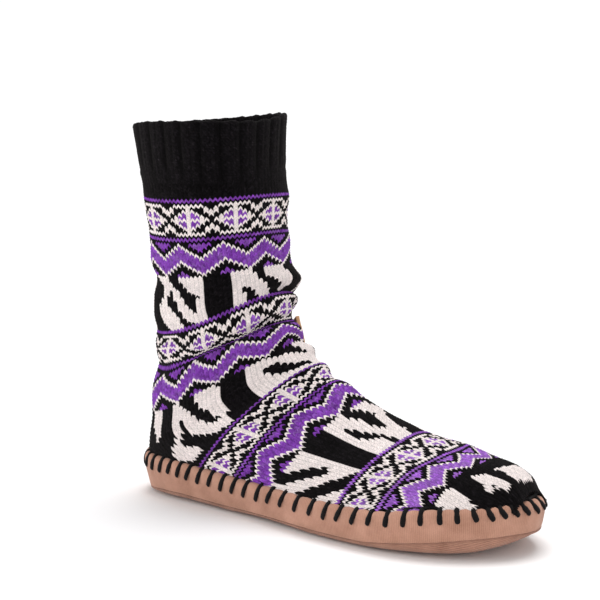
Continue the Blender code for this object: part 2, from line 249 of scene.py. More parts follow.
def knitted_ring(row, wall, sides_count):
    """One closed ring of the tube, moved in by wall: sides_count points in millimetres."""
    s = section_at(row)
    fx, fz, bx, bz = s["front_x"], s["front_z"], s["back_x"], s["back_z"]
    dx, dz = bx - fx, bz - fz
    length = float(np.hypot(dx, dz))
    fx, fz = fx + wall * dx / length, fz + wall * dz / length
    bx, bz = bx - wall * dx / length, bz - wall * dz / length
    dx, dz = bx - fx, bz - fz
    length = float(np.hypot(dx, dz))

    def along(t):
        bow = s["bow"] * 4.0 * t * (1.0 - t)
        x = fx + dx * t + bow * dz / length
        z = fz + dz * t - bow * dx / length
        return x - wall * np.clip((x - 205.0) / 45.0, 0.0, 1.0), z

    lateral = medial = s["half_width"] - wall
    probe = np.linspace(0.0, 1.0, 80)
    px, pz = along(probe)
    above = pz - band_edge(px)
    if above[-1] < 0.0:
        t_edge = float(np.interp(0.0, -above, probe))
        x_edge = float(along(t_edge)[0])
        out_lat, out_med = sides(x_edge, KNIT_INSET + wall)
        share = float(width_profile(t_edge, s["widest_at"], s["front_power"], s["back_power"]))
        held = float(np.clip(share / 0.7, 0.0, 1.0)) ** 2
        share = max(share, 0.15)
        lateral += held * ((out_lat + s["ridge_y"]) / share - s["ridge_y"] - lateral)
        medial += held * ((out_med - s["ridge_y"]) / share + s["ridge_y"] - medial)
    phi = np.arange(sides_count) * 2.0 * pi / sides_count
    t = (1.0 - np.cos(phi)) / 2.0
    x, z = along(t)
    share = width_profile(t, s["widest_at"], s["front_power"], s["back_power"])
    ridge = s["ridge_y"]
    y = np.where(np.sin(phi) >= 0.0, ridge - (ridge + lateral) * share,
                 ridge + (medial - ridge) * share)
    return np.stack([x, y, z], axis=1)


RNG = np.random.default_rng(433)


def to_row(p):
    """Points of the tables, in metres in the row frame."""
    p = np.asarray(p, float)
    return (p - np.array([ORIGIN[0], ORIGIN[1], 0.0])) * MM


def linear(c):
    c = np.asarray(c, float) / 255.0
    return np.where(c <= 0.04045, c / 12.92, ((c + 0.055) / 1.055) ** 2.4)


def smooth(t):
    t = np.clip(t, 0.0, 1.0)
    return t * t * (3.0 - 2.0 * t)


# ---------------------------------------------------------------- knitted tube
# Stitch width along the foot and where the tenth stitch from the ridge lies, in millimetres.
STITCH_COLUMNS = ("row", "width", "tenth")
STITCH_TABLE = ((118, 2.95, 29.5), (124, 2.72, 29.4), (130, 2.42, 29.3), (137, 2.15, 29.2),
                (144, 2.00, 29.0), (151, 1.98, 27.5), (160, 1.84, 24.6), (166, 1.82, 22.0),
                (172, 1.85, 20.9), (181, 1.90, 22.0), (188, 1.70, 19.0), (192.3, 1.40, 15.0))
ROUND = 90              # stitches round the leg


def arc_of(stitch, row, length):
    """Distance round a ring from the front ridge, positive on the outer side of the foot."""
    table = np.array(STITCH_TABLE)
    even = stitch * length / ROUND
    own = (np.interp(row, table[:, 0], table[:, 2])
           + (stitch - 10.0) * np.interp(row, table[:, 0], table[:, 1]))
    t = smooth((row - 106.0) / 18.0)
    return even * (1.0 - t) + own * t


BASE_ROWS = np.concatenate([np.arange(-34.0, 192.1, 1.0), [192.3]])
_rings = {}


def ring(row, wall):
    key = (round(float(row), 3), wall)
    if key not in _rings:
        p = knitted_ring(float(row), wall, 480)
        if row < -30.0:
            p[:, 2] += 1.45 * (-30.0 - row)
        q = np.vstack([p, p[:1]])
        s = np.concatenate([[0.0], np.cumsum(np.linalg.norm(np.diff(q, axis=0), axis=1))])
        _rings[key] = (q, s)
    return _rings[key]


def tube(rows, stitches, wall=0.0):
    """Base positions: one line of points per row, one point per stitch position."""
    out = np.zeros((len(rows), len(stitches), 3))
    base = np.zeros((len(BASE_ROWS), len(stitches), 3))
    lo = max(int(np.floor(min(rows))) - 1, -34)
    hi = min(int(np.ceil(max(rows))) + 1, 193)
    keep = [i for i, r in enumerate(BASE_ROWS) if lo <= r <= hi]
    for i in keep:
        q, s = ring(BASE_ROWS[i], wall)
        length = s[-1]
        a = np.clip(arc_of(stitches, BASE_ROWS[i], length), -length / 2, length / 2)
        ss = np.concatenate([s[:-1] - length, s])
        qq = np.vstack([q[:-1], q])
        for k in range(3):
            base[i, :, k] = np.interp(a, ss, qq[:, k])
    r = np.clip(rows, BASE_ROWS[keep[0]], BASE_ROWS[keep[-1]])
    j = np.clip(np.searchsorted(BASE_ROWS, r, side="right") - 1, keep[0], keep[-1] - 1)
    t = ((r - BASE_ROWS[j]) / (BASE_ROWS[j + 1] - BASE_ROWS[j]))[:, None, None]
    out[:] = base[j] * (1 - t) + base[j + 1] * t
    return out


# Creases, listed one by one. Each runs through (row, stitch), reaches wide stitches to each side,
# is tall rows high, drifts slope rows per stitch and stands out (+) or sinks in (-) by depth mm.
CREASE_COLUMNS = ("row", "stitch", "tall", "wide", "slope", "depth")
CREASES = (
    (36.5, -7.0, 5.6, 8.0, 0.0, 4.2),
    (46.0, -5.0, 2.6, 10.0, -0.05, -3.6),
    (53.0, -4.0, 3.4, 9.0, 0.0, 1.9),
    (59.5, 6.0, 3.2, 12.0, 0.0, 1.5),
    (64.6, 6.0, 1.9, 11.0, 0.03, -5.0),
    (69.0, 5.0, 3.2, 8.0, 0.05, 1.6),
    (64.6, 20.0, 1.9, 6.0, -0.05, -3.2),
    (67.0, 17.0, 4.5, 10.0, 0.0, 1.5),
    (60.5, -9.0, 5.5, 6.0, 0.0, -4.0),
    (73.0, -3.0, 2.2, 7.0, 0.10, -2.4),
    (78.5, -6.0, 4.0, 7.0, 0.0, 2.2),
    (96.5, -3.0, 4.0, 8.0, 0.0, 1.9),
    (105.0, -3.0, 3.5, 6.0, 0.0, -1.2),
    (113.0, -2.0, 4.5, 6.0, 0.0, 1.2),
    (51.5, 30.0, 3.2, 6.0, -0.45, -2.4),
    (58.0, 31.0, 4.0, 6.0, -0.35, 1.3),
    (64.5, 33.0, 2.8, 6.0, -0.3, -2.4),
    (71.0, 34.0, 4.5, 7.0, 0.0, 1.6),
    (38.0, 34.0, 6.0, 6.0, 0.0, 1.5),
    (29.0, 36.0, 3.2, 7.0, 0.0, -1.6),
    (44.0, 28.0, 2.4, 7.0, 0.35, -1.5),
    (79.0, -16.0, 6.0, 8.0, 0.4, 1.4),
    (60.0, -20.0, 4.0, 8.0, -0.3, -2.2),
    (52.0, -24.0, 4.5, 8.0, -0.2, 1.6),
    (68.0, -24.0, 4.5, 9.0, -0.2, 1.6),
    (45.0, -32.0, 3.5, 9.0, 0.1, -1.4),
    (64.0, -40.0, 3.5, 9.0, 0.1, -1.6),
    (72.0, -40.0, 4.5, 8.0, 0.1, 1.2),
    (84.0, 22.0, 7.0, 7.0, 0.0, 0.8),
    (47.5, 12.0, 2.2, 14.0, -0.12, -1.3),
    (22.0, 8.0, 3.0, 20.0, 0.05, -0.5),
    (30.5, 14.0, 2.4, 16.0, 0.06, -0.6),
    (2.0, -9.0, 4.0, 6.0, 0.0, 1.3),
    (19.0, -9.0, 4.5, 6.0, 0.0, 1.4),
    (24.0, 36.0, 4.0, 6.0, 0.0, 1.0),
    (93.0, 42.0, 15.0, 8.0, 0.0, -1.3),
    (41.0, 20.0, 3.0, 6.0, 0.3, 0.7),
)

# Where the knitting is bunched or stretched along the leg: the chart's rows sit shift rows lower.
SHIFT_COLUMNS = ("row", "stitch", "tall", "wide", "shift")
SHIFTS = (
    (117.0, 0.0, 9.0, 400.0, -1.3),
    (166.0, 0.0, 12.0, 10.0, 4.0),
)
# The same for the fold over the ankle, for five stitches across it.
FOLD_COLUMNS = ("row", "at_-12", "at_-1.5", "at_9", "at_20", "at_29", "at_40")
FOLD_STITCHES = (-12.0, -1.5, 9.0, 20.0, 29.0, 40.0)
FOLD = (
    (46, 0.0, 0.0, 0.0, 0.0, 0.0, 0.0),
    (48, 0.0, 0.0, 0.2, 0.0, 0.0, 0.0),
    (51, 0.6, 2.4, 3.6, 2.6, 0.6, 0.4),
    (55, 1.3, 4.9, 7.3, 5.4, 1.2, 1.3),
    (58, 1.3, 4.7, 6.3, 4.9, 1.5, 1.3),
    (61, 1.3, 3.6, 4.3, 3.2, 2.2, 1.3),
    (64, 1.3, 2.4, 2.0, 1.5, 2.9, 1.3),
    (69, 1.0, 0.2, 0.9, 1.4, 2.0, 1.3),
    (75, 0.0, -3.2, 0.0, 0.5, 1.0, 0.0),
    (82, 0.0, -0.5, 0.0, 0.0, 0.0, 0.0),
)


def shifted(row, stitch):
    """Model row of a chart row at a stitch."""
    row, stitch = np.broadcast_arrays(np.asarray(row, float), np.asarray(stitch, float))
    out = np.zeros(row.shape)
    for r0, s0, tall, wide, shift in SHIFTS:
        out += shift * np.exp(-((row - r0) / tall) ** 2 - ((stitch - s0) / wide) ** 2)
    table = np.array(FOLD)
    columns = np.stack([np.interp(row, table[:, 0], table[:, 1 + i])
                        for i in range(len(FOLD_STITCHES))], axis=-1)
    at = np.array(FOLD_STITCHES)
    i = np.clip(np.searchsorted(at, stitch, side="right") - 1, 0, len(at) - 2)
    f = smooth((stitch - at[i]) / (at[i + 1] - at[i]))
    near = np.take_along_axis(columns, i[..., None], -1)[..., 0]
    far = np.take_along_axis(columns, i[..., None] + 1, -1)[..., 0]
    fold = near * (1 - f) + far * f
    return row + out + fold


def creases(row, stitch):
    """The listed troughs and ridges plus a soft waviness, in millimetres."""
    out = np.zeros(np.broadcast(row, stitch).shape)
    for r0, s0, tall, wide, slope, depth in CREASES:
        for turn in (-ROUND, 0, ROUND):
            d = stitch - s0 - turn
            out += depth * np.exp(-((row - r0 - slope * d) / tall) ** 2 - (d / wide) ** 2)
    w = 2.0 * pi / ROUND
    out += 0.35 * np.sin(3 * w * stitch + 0.11 * row) * np.sin(0.19 * row + 1.0)
    out += 0.25 * np.sin(7 * w * stitch - 0.17 * row + 2.0) * np.sin(0.09 * row)
    return out


def normals_of(p, closed):
    """Unit normals of a grid of points, pointing away from the tube's middle."""
    if closed:
        du = np.roll(p, -1, 1) - np.roll(p, 1, 1)
    else:
        du = np.gradient(p, axis=1)
    dr = np.gradient(p, axis=0)
    n = np.cross(du, dr)
    k = np.linalg.norm(n, axis=2, keepdims=True)
    n = n / np.where(k < 1e-9, 1.0, k)
    centre = p.mean(axis=1, keepdims=True)
    side = np.sign((n * (p - centre)).sum(axis=(1, 2)))
    side[side == 0] = 1.0
    return n * side[:, None, None]


# ---------------------------------------------------------------- the knitted chart
BLACK, WHITE, PURPLE = 0, 1, 2
# Diamond: each column counted from its middle, the rows that are white or purple.
DIAMOND_COLUMNS = ("column", "white", "purple")
DIAMOND = (
    (0, (2, 3, 4, 5, 6, 7, 8, 9, 10, 11, 12), ()),
    (1, (2, 4, 7, 10, 12), (5, 6, 8, 9)),
    (2, (2, 5, 7, 9, 12), (6, 8)),
    (3, (2, 6, 7, 8, 12), ()),
    (4, (3, 4, 7, 10, 11), ()),
    (5, (4, 5, 9, 10), ()),
)
# Zebra bands: black strokes as outlines in (stitch, row of the band).
ZEBRA_LEG = (
    ((17.3, -1), (17.4, 2), (17.0, 6), (16.8, 10), (17, 17), (16.6, 21), (11.6, 21), (10.9, 15),
     (10.8, 9), (11.0, 3.5), (11.3, -1)),
    ((31.5, -1), (29.5, 2.5), (28, 3.5), (27.6, 5), (28.5, 8), (29.8, 11), (30.5, 15), (29, 17.5),
     (27.5, 19), (27, 21), (36, 21), (34.6, 16), (34.4, 10), (33.6, 5), (32.6, 1), (32.2, -1)),
    ((27.3, -1), (23.0, -1), (22.9, 0), (22.4, 2.5), (21.4, 4.5), (19.6, 7), (18.5, 8.5),
     (18.6, 12), (19.4, 15.8), (20.3, 13), (21.6, 10.5), (23.4, 5.5), (25.9, 1.5)),
    ((25.8, 3.5), (24.9, 8), (23.8, 12), (21.8, 17.5), (18.5, 21), (22.8, 21), (24.2, 16),
     (25.4, 13), (27.2, 10), (26.4, 6)),
    ((8.4, 6.5), (7.2, 11.5), (6.2, 14), (5.5, 18), (5.4, 21), (8, 21), (8.6, 19), (8.0, 16.5),
     (8.6, 12)),
    ((6.3, -1), (3.6, -1), (3.4, 1), (2.6, 4.5), (1.0, 6.5), (-0.4, 10), (-0.8, 14), (-1.6, 20),
     (2.2, 20), (2.6, 14), (3.8, 8), (5.2, 3.5)),
    ((-2.6, -1), (-2.6, 1), (-3.5, 3), (-4.0, 8), (-3.8, 14), (-2.4, 18), (-2.2, 21), (-9, 21),
     (-8.5, 14), (-8.2, 8), (-8.6, 3), (-9.5, -1)),
)
ZEBRA_HEEL = (
    ((16.9, -1), (16.3, 3), (16.1, 8), (16.2, 13), (16.8, 17.5), (17, 21), (10.9, 21), (10.5, 10),
     (11.2, -1)),
    ((27, -1), (22.6, -1), (22.4, 1), (20.8, 7), (18.8, 11.5), (18.4, 14.5), (19.6, 14.8),
     (21.2, 12.5), (23, 7), (25.2, 3)),
    ((25.4, 8.2), (25, 11), (24.6, 13.6), (23.8, 14.9), (22.2, 16.6), (20.4, 17.7), (18.8, 18.4),
     (17, 19.3), (17, 21), (28.5, 21), (28.2, 18.4), (26.0, 18.3), (25.9, 17.6), (26.3, 16.6),
     (27.1, 15.2), (28.1, 14.0), (27.2, 12.8), (26.45, 11.8), (26.2, 10.5), (25.9, 9)),
    ((28, -1), (27.7, 4), (27.6, 8), (27.7, 10.5), (28.6, 12), (30.4, 13.1), (32.2, 14.1),
     (31.9, 15.5), (30, 17.8), (28.2, 18.4), (28.2, 21), (40, 21), (36, 13), (33.0, 9.6),
     (32.3, 8.6), (32, 5), (31.9, 3), (31.8, -1)),
    ((35.6, -1), (35.4, 3), (34.7, 7), (33.6, 9.6), (36, 21), (41.5, 21), (40, 10), (41.5, -1)),
    ((8.5, 4.5), (7.2, 6), (5.5, 6), (3.8, 11), (2.2, 13), (0.5, 13.7), (-0.5, 15), (0, 18),
     (2.5, 17), (4, 16.6), (4.8, 15.8), (6.5, 13), (8.2, 8.2)),
    ((7.5, -1.5), (4.5, -1.5), (2.8, -1), (1, 0.5), (-1.3, 6.8), (-1, 7.2), (0.5, 6.5), (1.8, 4),
     (4.5, 2.5), (6.5, 1.2)),
    ((-3.5, -1), (-5, 6), (-4, 14), (-3.5, 21), (-10.5, 21), (-10.5, 5.6), (-9.2, 5), (-9.2, -1)),
)
ZEBRA_FOOT = (
    ((16.8, -1), (16.6, 8), (16.5, 14), (16.6, 21), (11.4, 21), (11.0, 10), (10.8, -1)),
    ((26.5, -1), (22.8, -1), (22.6, 1.5), (20.9, 5), (19.8, 7), (19.4, 10), (19.7, 13.2),
     (21, 11.5), (22.2, 9.3), (23.8, 6.5), (25.5, 3)),
    ((27.9, 6.5), (26, 9.7), (23, 13.7), (20, 17.5), (18.3, 19.5), (18, 21), (23.5, 21),
     (24.8, 18.5), (27.5, 14.5), (29.5, 11)),
    ((8.4, 4.8), (7.4, 7.5), (5.6, 12), (3.6, 15.3), (3.4, 18.5), (2, 21), (5.2, 21), (5.2, 19),
     (4.8, 15.8), (7, 13.8), (9, 10.5), (9.5, 7.5)),
    ((6.6, -1), (4.2, -0.8), (2.8, 2), (1.0, 5), (0.4, 6), (1.0, 10), (1.0, 13.2), (3, 11),
     (3.9, 9), (4.1, 6), (5.9, 2)),
    ((-1.2, -1), (-1.5, 2.5), (-3.9, 4.5), (-2.4, 8.5), (-2, 11.5), (-2.5, 16.5), (-1.5, 21),
     (-8, 21), (-8.2, 10), (-7.5, -1)),
    ((31, -1), (30, 8), (31, 21), (36, 21), (36, -1)),
)
# On the toe the ground is black and these outlines are white.
ZEBRA_TOE = (
    ((23.5, 0.5), (18.5, 0.6), (16.3, 1.6), (15.8, 5), (16.6, 9), (18.0, 11.5), (20.5, 10.5), (22.5, 8)),
    ((9.8, 3.5), (8, 5), (6.2, 8), (6.2, 13), (6.5, 16), (8.5, 15.6), (9.6, 13.5), (8.8, 12),
     (10.8, 13.4), (12.8, 13), (10.8, 10.5), (10, 8.5)),
    ((2.6, 8), (-1.8, 9.5), (-8.2, 10.8), (-6, 16.3), (-5.2, 17.5), (0.8, 18), (3.2, 16),
     (2.2, 12)),
    ((-11, 2), (-15, 1), (-18, 3), (-16, 8), (-13, 12), (-12, 7)),
)


def inside(outline, x, y):
    """Which points lie inside a closed outline."""
    hit = np.zeros(x.shape, bool)
    n = len(outline)
    for i in range(n):
        x0, y0 = outline[i]
        x1, y1 = outline[(i + 1) % n]
        if y0 == y1:
            continue
        cross = ((y0 > y) != (y1 > y)) & (x < (x1 - x0) * (y - y0) / (y1 - y0) + x0)
        hit ^= cross
    return hit


def chart(stitch, row):
    """Yarn of each stitch, from whole stitch and row numbers."""
    stitch = np.asarray(stitch)
    row = np.asarray(row)
    out = np.zeros(np.broadcast(stitch, row).shape, int)
    stitch, row = np.broadcast_arrays(stitch, row)
    period = np.mod(row, 48)
    band = np.floor_divide(row, 48)
    on = (row >= 0) & (row < 192)
    out[on & ((period == 0) | (period == 14))] = PURPLE
    # diamonds
    c = np.mod(stitch + 2, 10)
    c = np.minimum(c, 10 - c)
    for column, white, purple in DIAMOND:
        for rows, yarn in ((white, WHITE), (purple, PURPLE)):
            for r in rows:
                out[on & (period == r) & (c == column)] = yarn
    # chevrons
    d = np.mod(stitch - 1, 10)
    d = np.minimum(d, 10 - d)
    z = on & (period >= 16) & (period <= 27)
    out[z & ((period == 16 + d) | (period == 22 + d))] = WHITE
    out[z & (period > 16 + d) & (period < 22 + d)] = PURPLE
    v = 5 - d
    out[z & (period == 16) & (v <= 2)] = PURPLE
    out[z & (period == 17) & (v <= 1)] = PURPLE
    out[z & (period == 18) & (v == 0)] = PURPLE
    out[z & (period == 26) & (d == 0)] = PURPLE
    out[z & (period == 27) & (d <= 1)] = PURPLE
    # zebra bands; the strokes repeat every 45 stitches
    s = np.where(stitch >= 35, stitch - 45, stitch)
    s = np.where(s < -10, s + 45, s)
    for index, strokes in enumerate((ZEBRA_LEG, ZEBRA_HEEL, ZEBRA_FOOT)):
        z = on & (band == index) & (period >= 28)
        r = period[z] - 28 + 0.5
        x = s[z] + 0.5
        black = np.zeros(r.shape, bool)
        for outline in strokes:
            black |= inside(outline, x, r)
        out[z] = np.where(black, BLACK, WHITE)
    z = on & (band == 3) & (period >= 28)
    r = period[z] - 28 + 0.5
    x = stitch[z] + 0.5
    white = np.zeros(r.shape, bool)
    for outline in ZEBRA_TOE:
        white |= inside(outline, x, r)
    out[z] = np.where(white, WHITE, BLACK)
    return out


YARN = np.array([linear((11, 9, 11)), linear((241, 230, 227)), linear((125, 62, 168))])


def yarn_colours(yarn, rng, rows=None):
    """Colour of each stitch: its yarn, a little lighter or darker from stitch to stitch."""
    c = YARN[yarn]
    spread = np.choose(yarn, (0.30, 0.03, 0.15))
    k = 1.0 + rng.normal(0.0, 1.0, yarn.shape) * spread
    c = c * np.clip(k, 0.45, 1.9)[..., None]
    # heather: pale fibres show in some purple stitches; towards the toe the purple is also painted paler
    # and brighter, painted light where its top faces the overhead light
    heather_and_toe_light = rng.random(yarn.shape) ** 3 * 0.07
    if rows is not None:
        heather_and_toe_light = heather_and_toe_light + 0.05 * smooth((np.asarray(rows) - 122.0) / 40.0)
    heather_and_toe_light = np.where(yarn == PURPLE, heather_and_toe_light, 0.0)[..., None]
    c = c * (1.0 - heather_and_toe_light) + YARN[WHITE] * heather_and_toe_light
    # painted light: the purple grows brighter towards the toe
    if rows is not None:
        painted_toe_light = 1.0 + 0.30 * smooth((np.asarray(rows) - 122.0) / 40.0)
        c = c * np.where(yarn == PURPLE, painted_toe_light, 1.0)[..., None]
    return c


# ---------------------------------------------------------------- mesh building
def grid_object(name, points, faces_keep, corner_rgb=None, closed=False, uv_rows=None):
    """A mesh from a grid of points (rows, columns). Corner colours are (rows-1, cols, 4, 3)."""
    nr, nc = points.shape[:2]
    cols = nc if closed else nc - 1
    r, c = np.meshgrid(np.arange(nr - 1), np.arange(cols), indexing="ij")
    c2 = (c + 1) % nc if closed else c + 1
    quads = np.stack([r * nc + c, r * nc + c2, (r + 1) * nc + c2, (r + 1) * nc + c], axis=-1)
    keep = np.ones((nr - 1, cols), bool) if faces_keep is None else faces_keep
    quads = quads[keep]
    used, index = np.unique(quads.ravel(), return_inverse=True)
    verts = points.reshape(-1, 3)[used]
    index = index.reshape(-1)
    mesh = bpy.data.meshes.new(name)
    mesh.vertices.add(len(verts))
    mesh.vertices.foreach_set("co", to_row(verts).astype(np.float32).ravel())
    mesh.loops.add(len(index))
    mesh.loops.foreach_set("vertex_index", index.astype(np.int32))
    mesh.polygons.add(len(quads))
    mesh.polygons.foreach_set("loop_start", np.arange(0, len(index), 4, dtype=np.int32))
    mesh.update(calc_edges=True)
    mesh.polygons.foreach_set("use_smooth", np.ones(len(quads), bool))
    uv = mesh.uv_layers.new(name="OFBake")
    u0 = (c / cols) * 0.98 + 0.01
    u1 = ((c + 1) / cols) * 0.98 + 0.01
    v0 = (r / (nr - 1)) * 0.98 + 0.01
    v1 = ((r + 1) / (nr - 1)) * 0.98 + 0.01
    uvs = np.stack([np.stack([u0, v0], -1), np.stack([u1, v0], -1),
                    np.stack([u1, v1], -1), np.stack([u0, v1], -1)], axis=2)[keep]
    uv.data.foreach_set("uv", uvs.astype(np.float32).ravel())
    uv.active_render = True
    if corner_rgb is not None:
        attr = mesh.color_attributes.new("yarn", "FLOAT_COLOR", "CORNER")
        rgb = corner_rgb[keep].reshape(-1, 3)
        rgba = np.concatenate([rgb, np.ones((len(rgb), 1))], axis=1)
        attr.data.foreach_set("color", rgba.astype(np.float32).ravel())
    mesh.validate()
    obj = bpy.data.objects.new(name, mesh)
    bpy.context.scene.collection.objects.link(obj)
    return obj


def face_outwards(obj, centre=None):
    """Turns the mesh over if most of it faces the wrong way."""
    mesh = obj.data
    n = len(mesh.polygons)
    cen = np.zeros(n * 3)
    nor = np.zeros(n * 3)
    mesh.polygons.foreach_get("center", cen)
    mesh.polygons.foreach_get("normal", nor)
    cen = cen.reshape(-1, 3)
    nor = nor.reshape(-1, 3)
    mid = cen.mean(axis=0) if centre is None else np.asarray(centre)
    if ((cen - mid) * nor).sum() < 0:
        mesh.flip_normals()
    return obj


# ---------------------------------------------------------------- materials
def new_material(name):
    mat = bpy.data.materials.new(name)
    mat.use_nodes = True
    nt = mat.node_tree
    shader = nt.nodes["Principled BSDF"]
    return mat, nt, shader


def add(nt, kind, **values):
    node = nt.nodes.new(kind)
    for key, value in values.items():
        if hasattr(node, key):
            setattr(node, key, value)
        else:
            node.inputs[key.replace("_", " ")].default_value = value
    return node


def knit_material(name, sheen, bump, rough=0.92):
    mat, nt, shader = new_material(name)
    # yarn colour per corner, with painted shade between the stitches and painted glints baked in
    yarn = add(nt, "ShaderNodeVertexColor", layer_name="yarn")
    place_node = add(nt, "ShaderNodeTexCoord")
    fibre = add(nt, "ShaderNodeTexNoise", Scale=1400.0, Detail=2.0, Roughness=0.6)
    nt.links.new(place_node.outputs["Object"], fibre.inputs["Vector"])
    ramp = add(nt, "ShaderNodeMapRange")
    ramp.inputs["From Min"].default_value = 0.25
    ramp.inputs["From Max"].default_value = 0.75
    ramp.inputs["To Min"].default_value = 0.78
    ramp.inputs["To Max"].default_value = 1.22
    nt.links.new(fibre.outputs["Fac"], ramp.inputs["Value"])
    mix = add(nt, "ShaderNodeVectorMath", operation="SCALE")
    nt.links.new(yarn.outputs["Color"], mix.inputs[0])
    nt.links.new(ramp.outputs["Result"], mix.inputs["Scale"])
    nt.links.new(mix.outputs["Vector"], shader.inputs["Base Color"])
    dent = add(nt, "ShaderNodeBump", Strength=bump, Distance=0.0006)
    nt.links.new(fibre.outputs["Fac"], dent.inputs["Height"])
    nt.links.new(dent.outputs["Normal"], shader.inputs["Normal"])
    shader.inputs["Roughness"].default_value = rough
    shader.inputs["Specular IOR Level"].default_value = 0.03
    shader.inputs["Sheen Weight"].default_value = sheen
    shader.inputs["Sheen Roughness"].default_value = 0.6
    shader.inputs["Sheen Tint"].default_value = (1.0, 0.93, 0.90, 1.0)
    return mat


def fabric_material(name, base, light, rib_scale, rib_angle, rib_tone=0.5, bump=0.35, sheen=0.15):
    """Finely ribbed jersey: ribs follow the piece's unrolled measure."""
    mat, nt, shader = new_material(name)
    uv = add(nt, "ShaderNodeUVMap", uv_map="OFBake")
    turn = add(nt, "ShaderNodeMapping")
    turn.inputs["Rotation"].default_value = (0.0, 0.0, rib_angle)
    turn.inputs["Scale"].default_value = rib_scale
    nt.links.new(uv.outputs["UV"], turn.inputs["Vector"])
    rib = add(nt, "ShaderNodeTexWave", wave_type="BANDS", bands_direction="X", Scale=1.0,
              Distortion=0.6, Detail=1.0)
    rib.inputs["Detail Scale"].default_value = 2.0
    nt.links.new(turn.outputs["Vector"], rib.inputs["Vector"])
    obj = add(nt, "ShaderNodeTexCoord")
    blotch = add(nt, "ShaderNodeTexNoise", Scale=85.0, Detail=4.0)
    nt.links.new(obj.outputs["Object"], blotch.inputs["Vector"])
    fibre = add(nt, "ShaderNodeTexNoise", Scale=1500.0, Detail=2.0)
    nt.links.new(obj.outputs["Object"], fibre.inputs["Vector"])
    total = add(nt, "ShaderNodeMath", operation="MULTIPLY_ADD")
    nt.links.new(rib.outputs["Fac"], total.inputs[0])
    total.inputs[1].default_value = rib_tone
    nt.links.new(blotch.outputs["Fac"], total.inputs[2])
    second = add(nt, "ShaderNodeMath", operation="MULTIPLY_ADD")
    nt.links.new(fibre.outputs["Fac"], second.inputs[0])
    second.inputs[1].default_value = 0.35
    nt.links.new(total.outputs[0], second.inputs[2])
    ramp = add(nt, "ShaderNodeMapRange")
    ramp.inputs["From Min"].default_value = 0.30 + 0.5 * rib_tone
    ramp.inputs["From Max"].default_value = 1.05 + 0.5 * rib_tone
    nt.links.new(second.outputs[0], ramp.inputs["Value"])
    colour = add(nt, "ShaderNodeMix", data_type="RGBA")
    colour.inputs["A"].default_value = (*linear(base), 1.0)
    colour.inputs["B"].default_value = (*linear(light), 1.0)
    nt.links.new(ramp.outputs["Result"], colour.inputs["Factor"])
    for socket in colour.inputs:
        if socket.type == "RGBA" and socket.name == "A":
            socket.default_value = (*linear(base), 1.0)
        if socket.type == "RGBA" and socket.name == "B":
            socket.default_value = (*linear(light), 1.0)
    out = [s for s in colour.outputs if s.type == "RGBA"][0]
    nt.links.new(out, shader.inputs["Base Color"])
    dent = add(nt, "ShaderNodeBump", Strength=bump, Distance=0.0005)
    height = add(nt, "ShaderNodeMath", operation="MULTIPLY_ADD")
    nt.links.new(fibre.outputs["Fac"], height.inputs[0])
    height.inputs[1].default_value = 0.5
    nt.links.new(rib.outputs["Fac"], height.inputs[2])
    nt.links.new(height.outputs[0], dent.inputs["Height"])
    nt.links.new(dent.outputs["Normal"], shader.inputs["Normal"])
    shader.inputs["Roughness"].default_value = 0.9
    shader.inputs["Specular IOR Level"].default_value = 0.15
    shader.inputs["Sheen Weight"].default_value = sheen
    shader.inputs["Sheen Roughness"].default_value = 0.5
    return mat


def plain_material(name, rgb, rough=0.9, noise=0.25, scale=900.0, sheen=0.2):
    mat, nt, shader = new_material(name)
    obj = add(nt, "ShaderNodeTexCoord")
    fibre = add(nt, "ShaderNodeTexNoise", Scale=scale, Detail=3.0)
    nt.links.new(obj.outputs["Object"], fibre.inputs["Vector"])
    ramp = add(nt, "ShaderNodeValToRGB")
    dark = linear(rgb) * (1.0 - noise)
    light = np.clip(linear(rgb) * (1.0 + noise), 0, 1)
    ramp.color_ramp.elements[0].color = (*dark, 1.0)
    ramp.color_ramp.elements[1].color = (*light, 1.0)
    ramp.color_ramp.elements[0].position = 0.3
    ramp.color_ramp.elements[1].position = 0.7
    nt.links.new(fibre.outputs["Fac"], ramp.inputs["Fac"])
    nt.links.new(ramp.outputs["Color"], shader.inputs["Base Color"])
    dent = add(nt, "ShaderNodeBump", Strength=0.4, Distance=0.0004)
    nt.links.new(fibre.outputs["Fac"], dent.inputs["Height"])
    nt.links.new(dent.outputs["Normal"], shader.inputs["Normal"])
    shader.inputs["Roughness"].default_value = rough
    shader.inputs["Specular IOR Level"].default_value = 0.15
    shader.inputs["Sheen Weight"].default_value = sheen
    shader.inputs["Sheen Roughness"].default_value = 0.5
    return mat


KNIT = knit_material("knit_yarn", 0.035, 0.55)
TAN = fabric_material("band_jersey", (152, 109, 89), (198, 151, 130), (188.0, 1.0, 1.0), 0.0,
                      rib_tone=0.20, bump=0.35)
PANEL = fabric_material("panel_jersey", (136, 96, 79), (184, 138, 118), (33.0, 7.4, 1.0),
                        -pi / 4, rib_tone=0.40, bump=0.6)
BLACK_YARN = plain_material("stitch_yarn", (15, 12, 13), noise=0.6, scale=1600.0, sheen=0.05)
LINING = plain_material("lining_floats", (58, 52, 58), noise=0.6, scale=420.0)
SUEDE = plain_material("suede_patch", (196, 152, 112), noise=0.2, scale=700.0)
FOAM = plain_material("footbed_cloth", (74, 66, 68), noise=0.3, scale=500.0)

# ---------------------------------------------------------------- knitted legs and foot
# Columns per stitch: edge, leg, middle, leg. Lines zigzag so each stitch is an inverted V.
ZIG = np.array([0.5, 0.0, -0.5, 0.0])
RELIEF_LINE = np.array([-0.52, 0.14, -0.26, 0.14])      # on the line between two stitches
RELIEF_BODY = np.array([-0.30, 0.40, -0.02, 0.40])      # halfway along the stitch
# Painted shade: each stitch's colour is darkened towards the grooves and corners between stitches; the
# darkest corners also stand for dark yarn seen through the gaps.
PAINTED_SHADE_LINE = np.array([0.58, 0.90, 0.80, 0.90])
PAINTED_SHADE_BODY = np.array([0.90, 1.04, 0.98, 1.04])


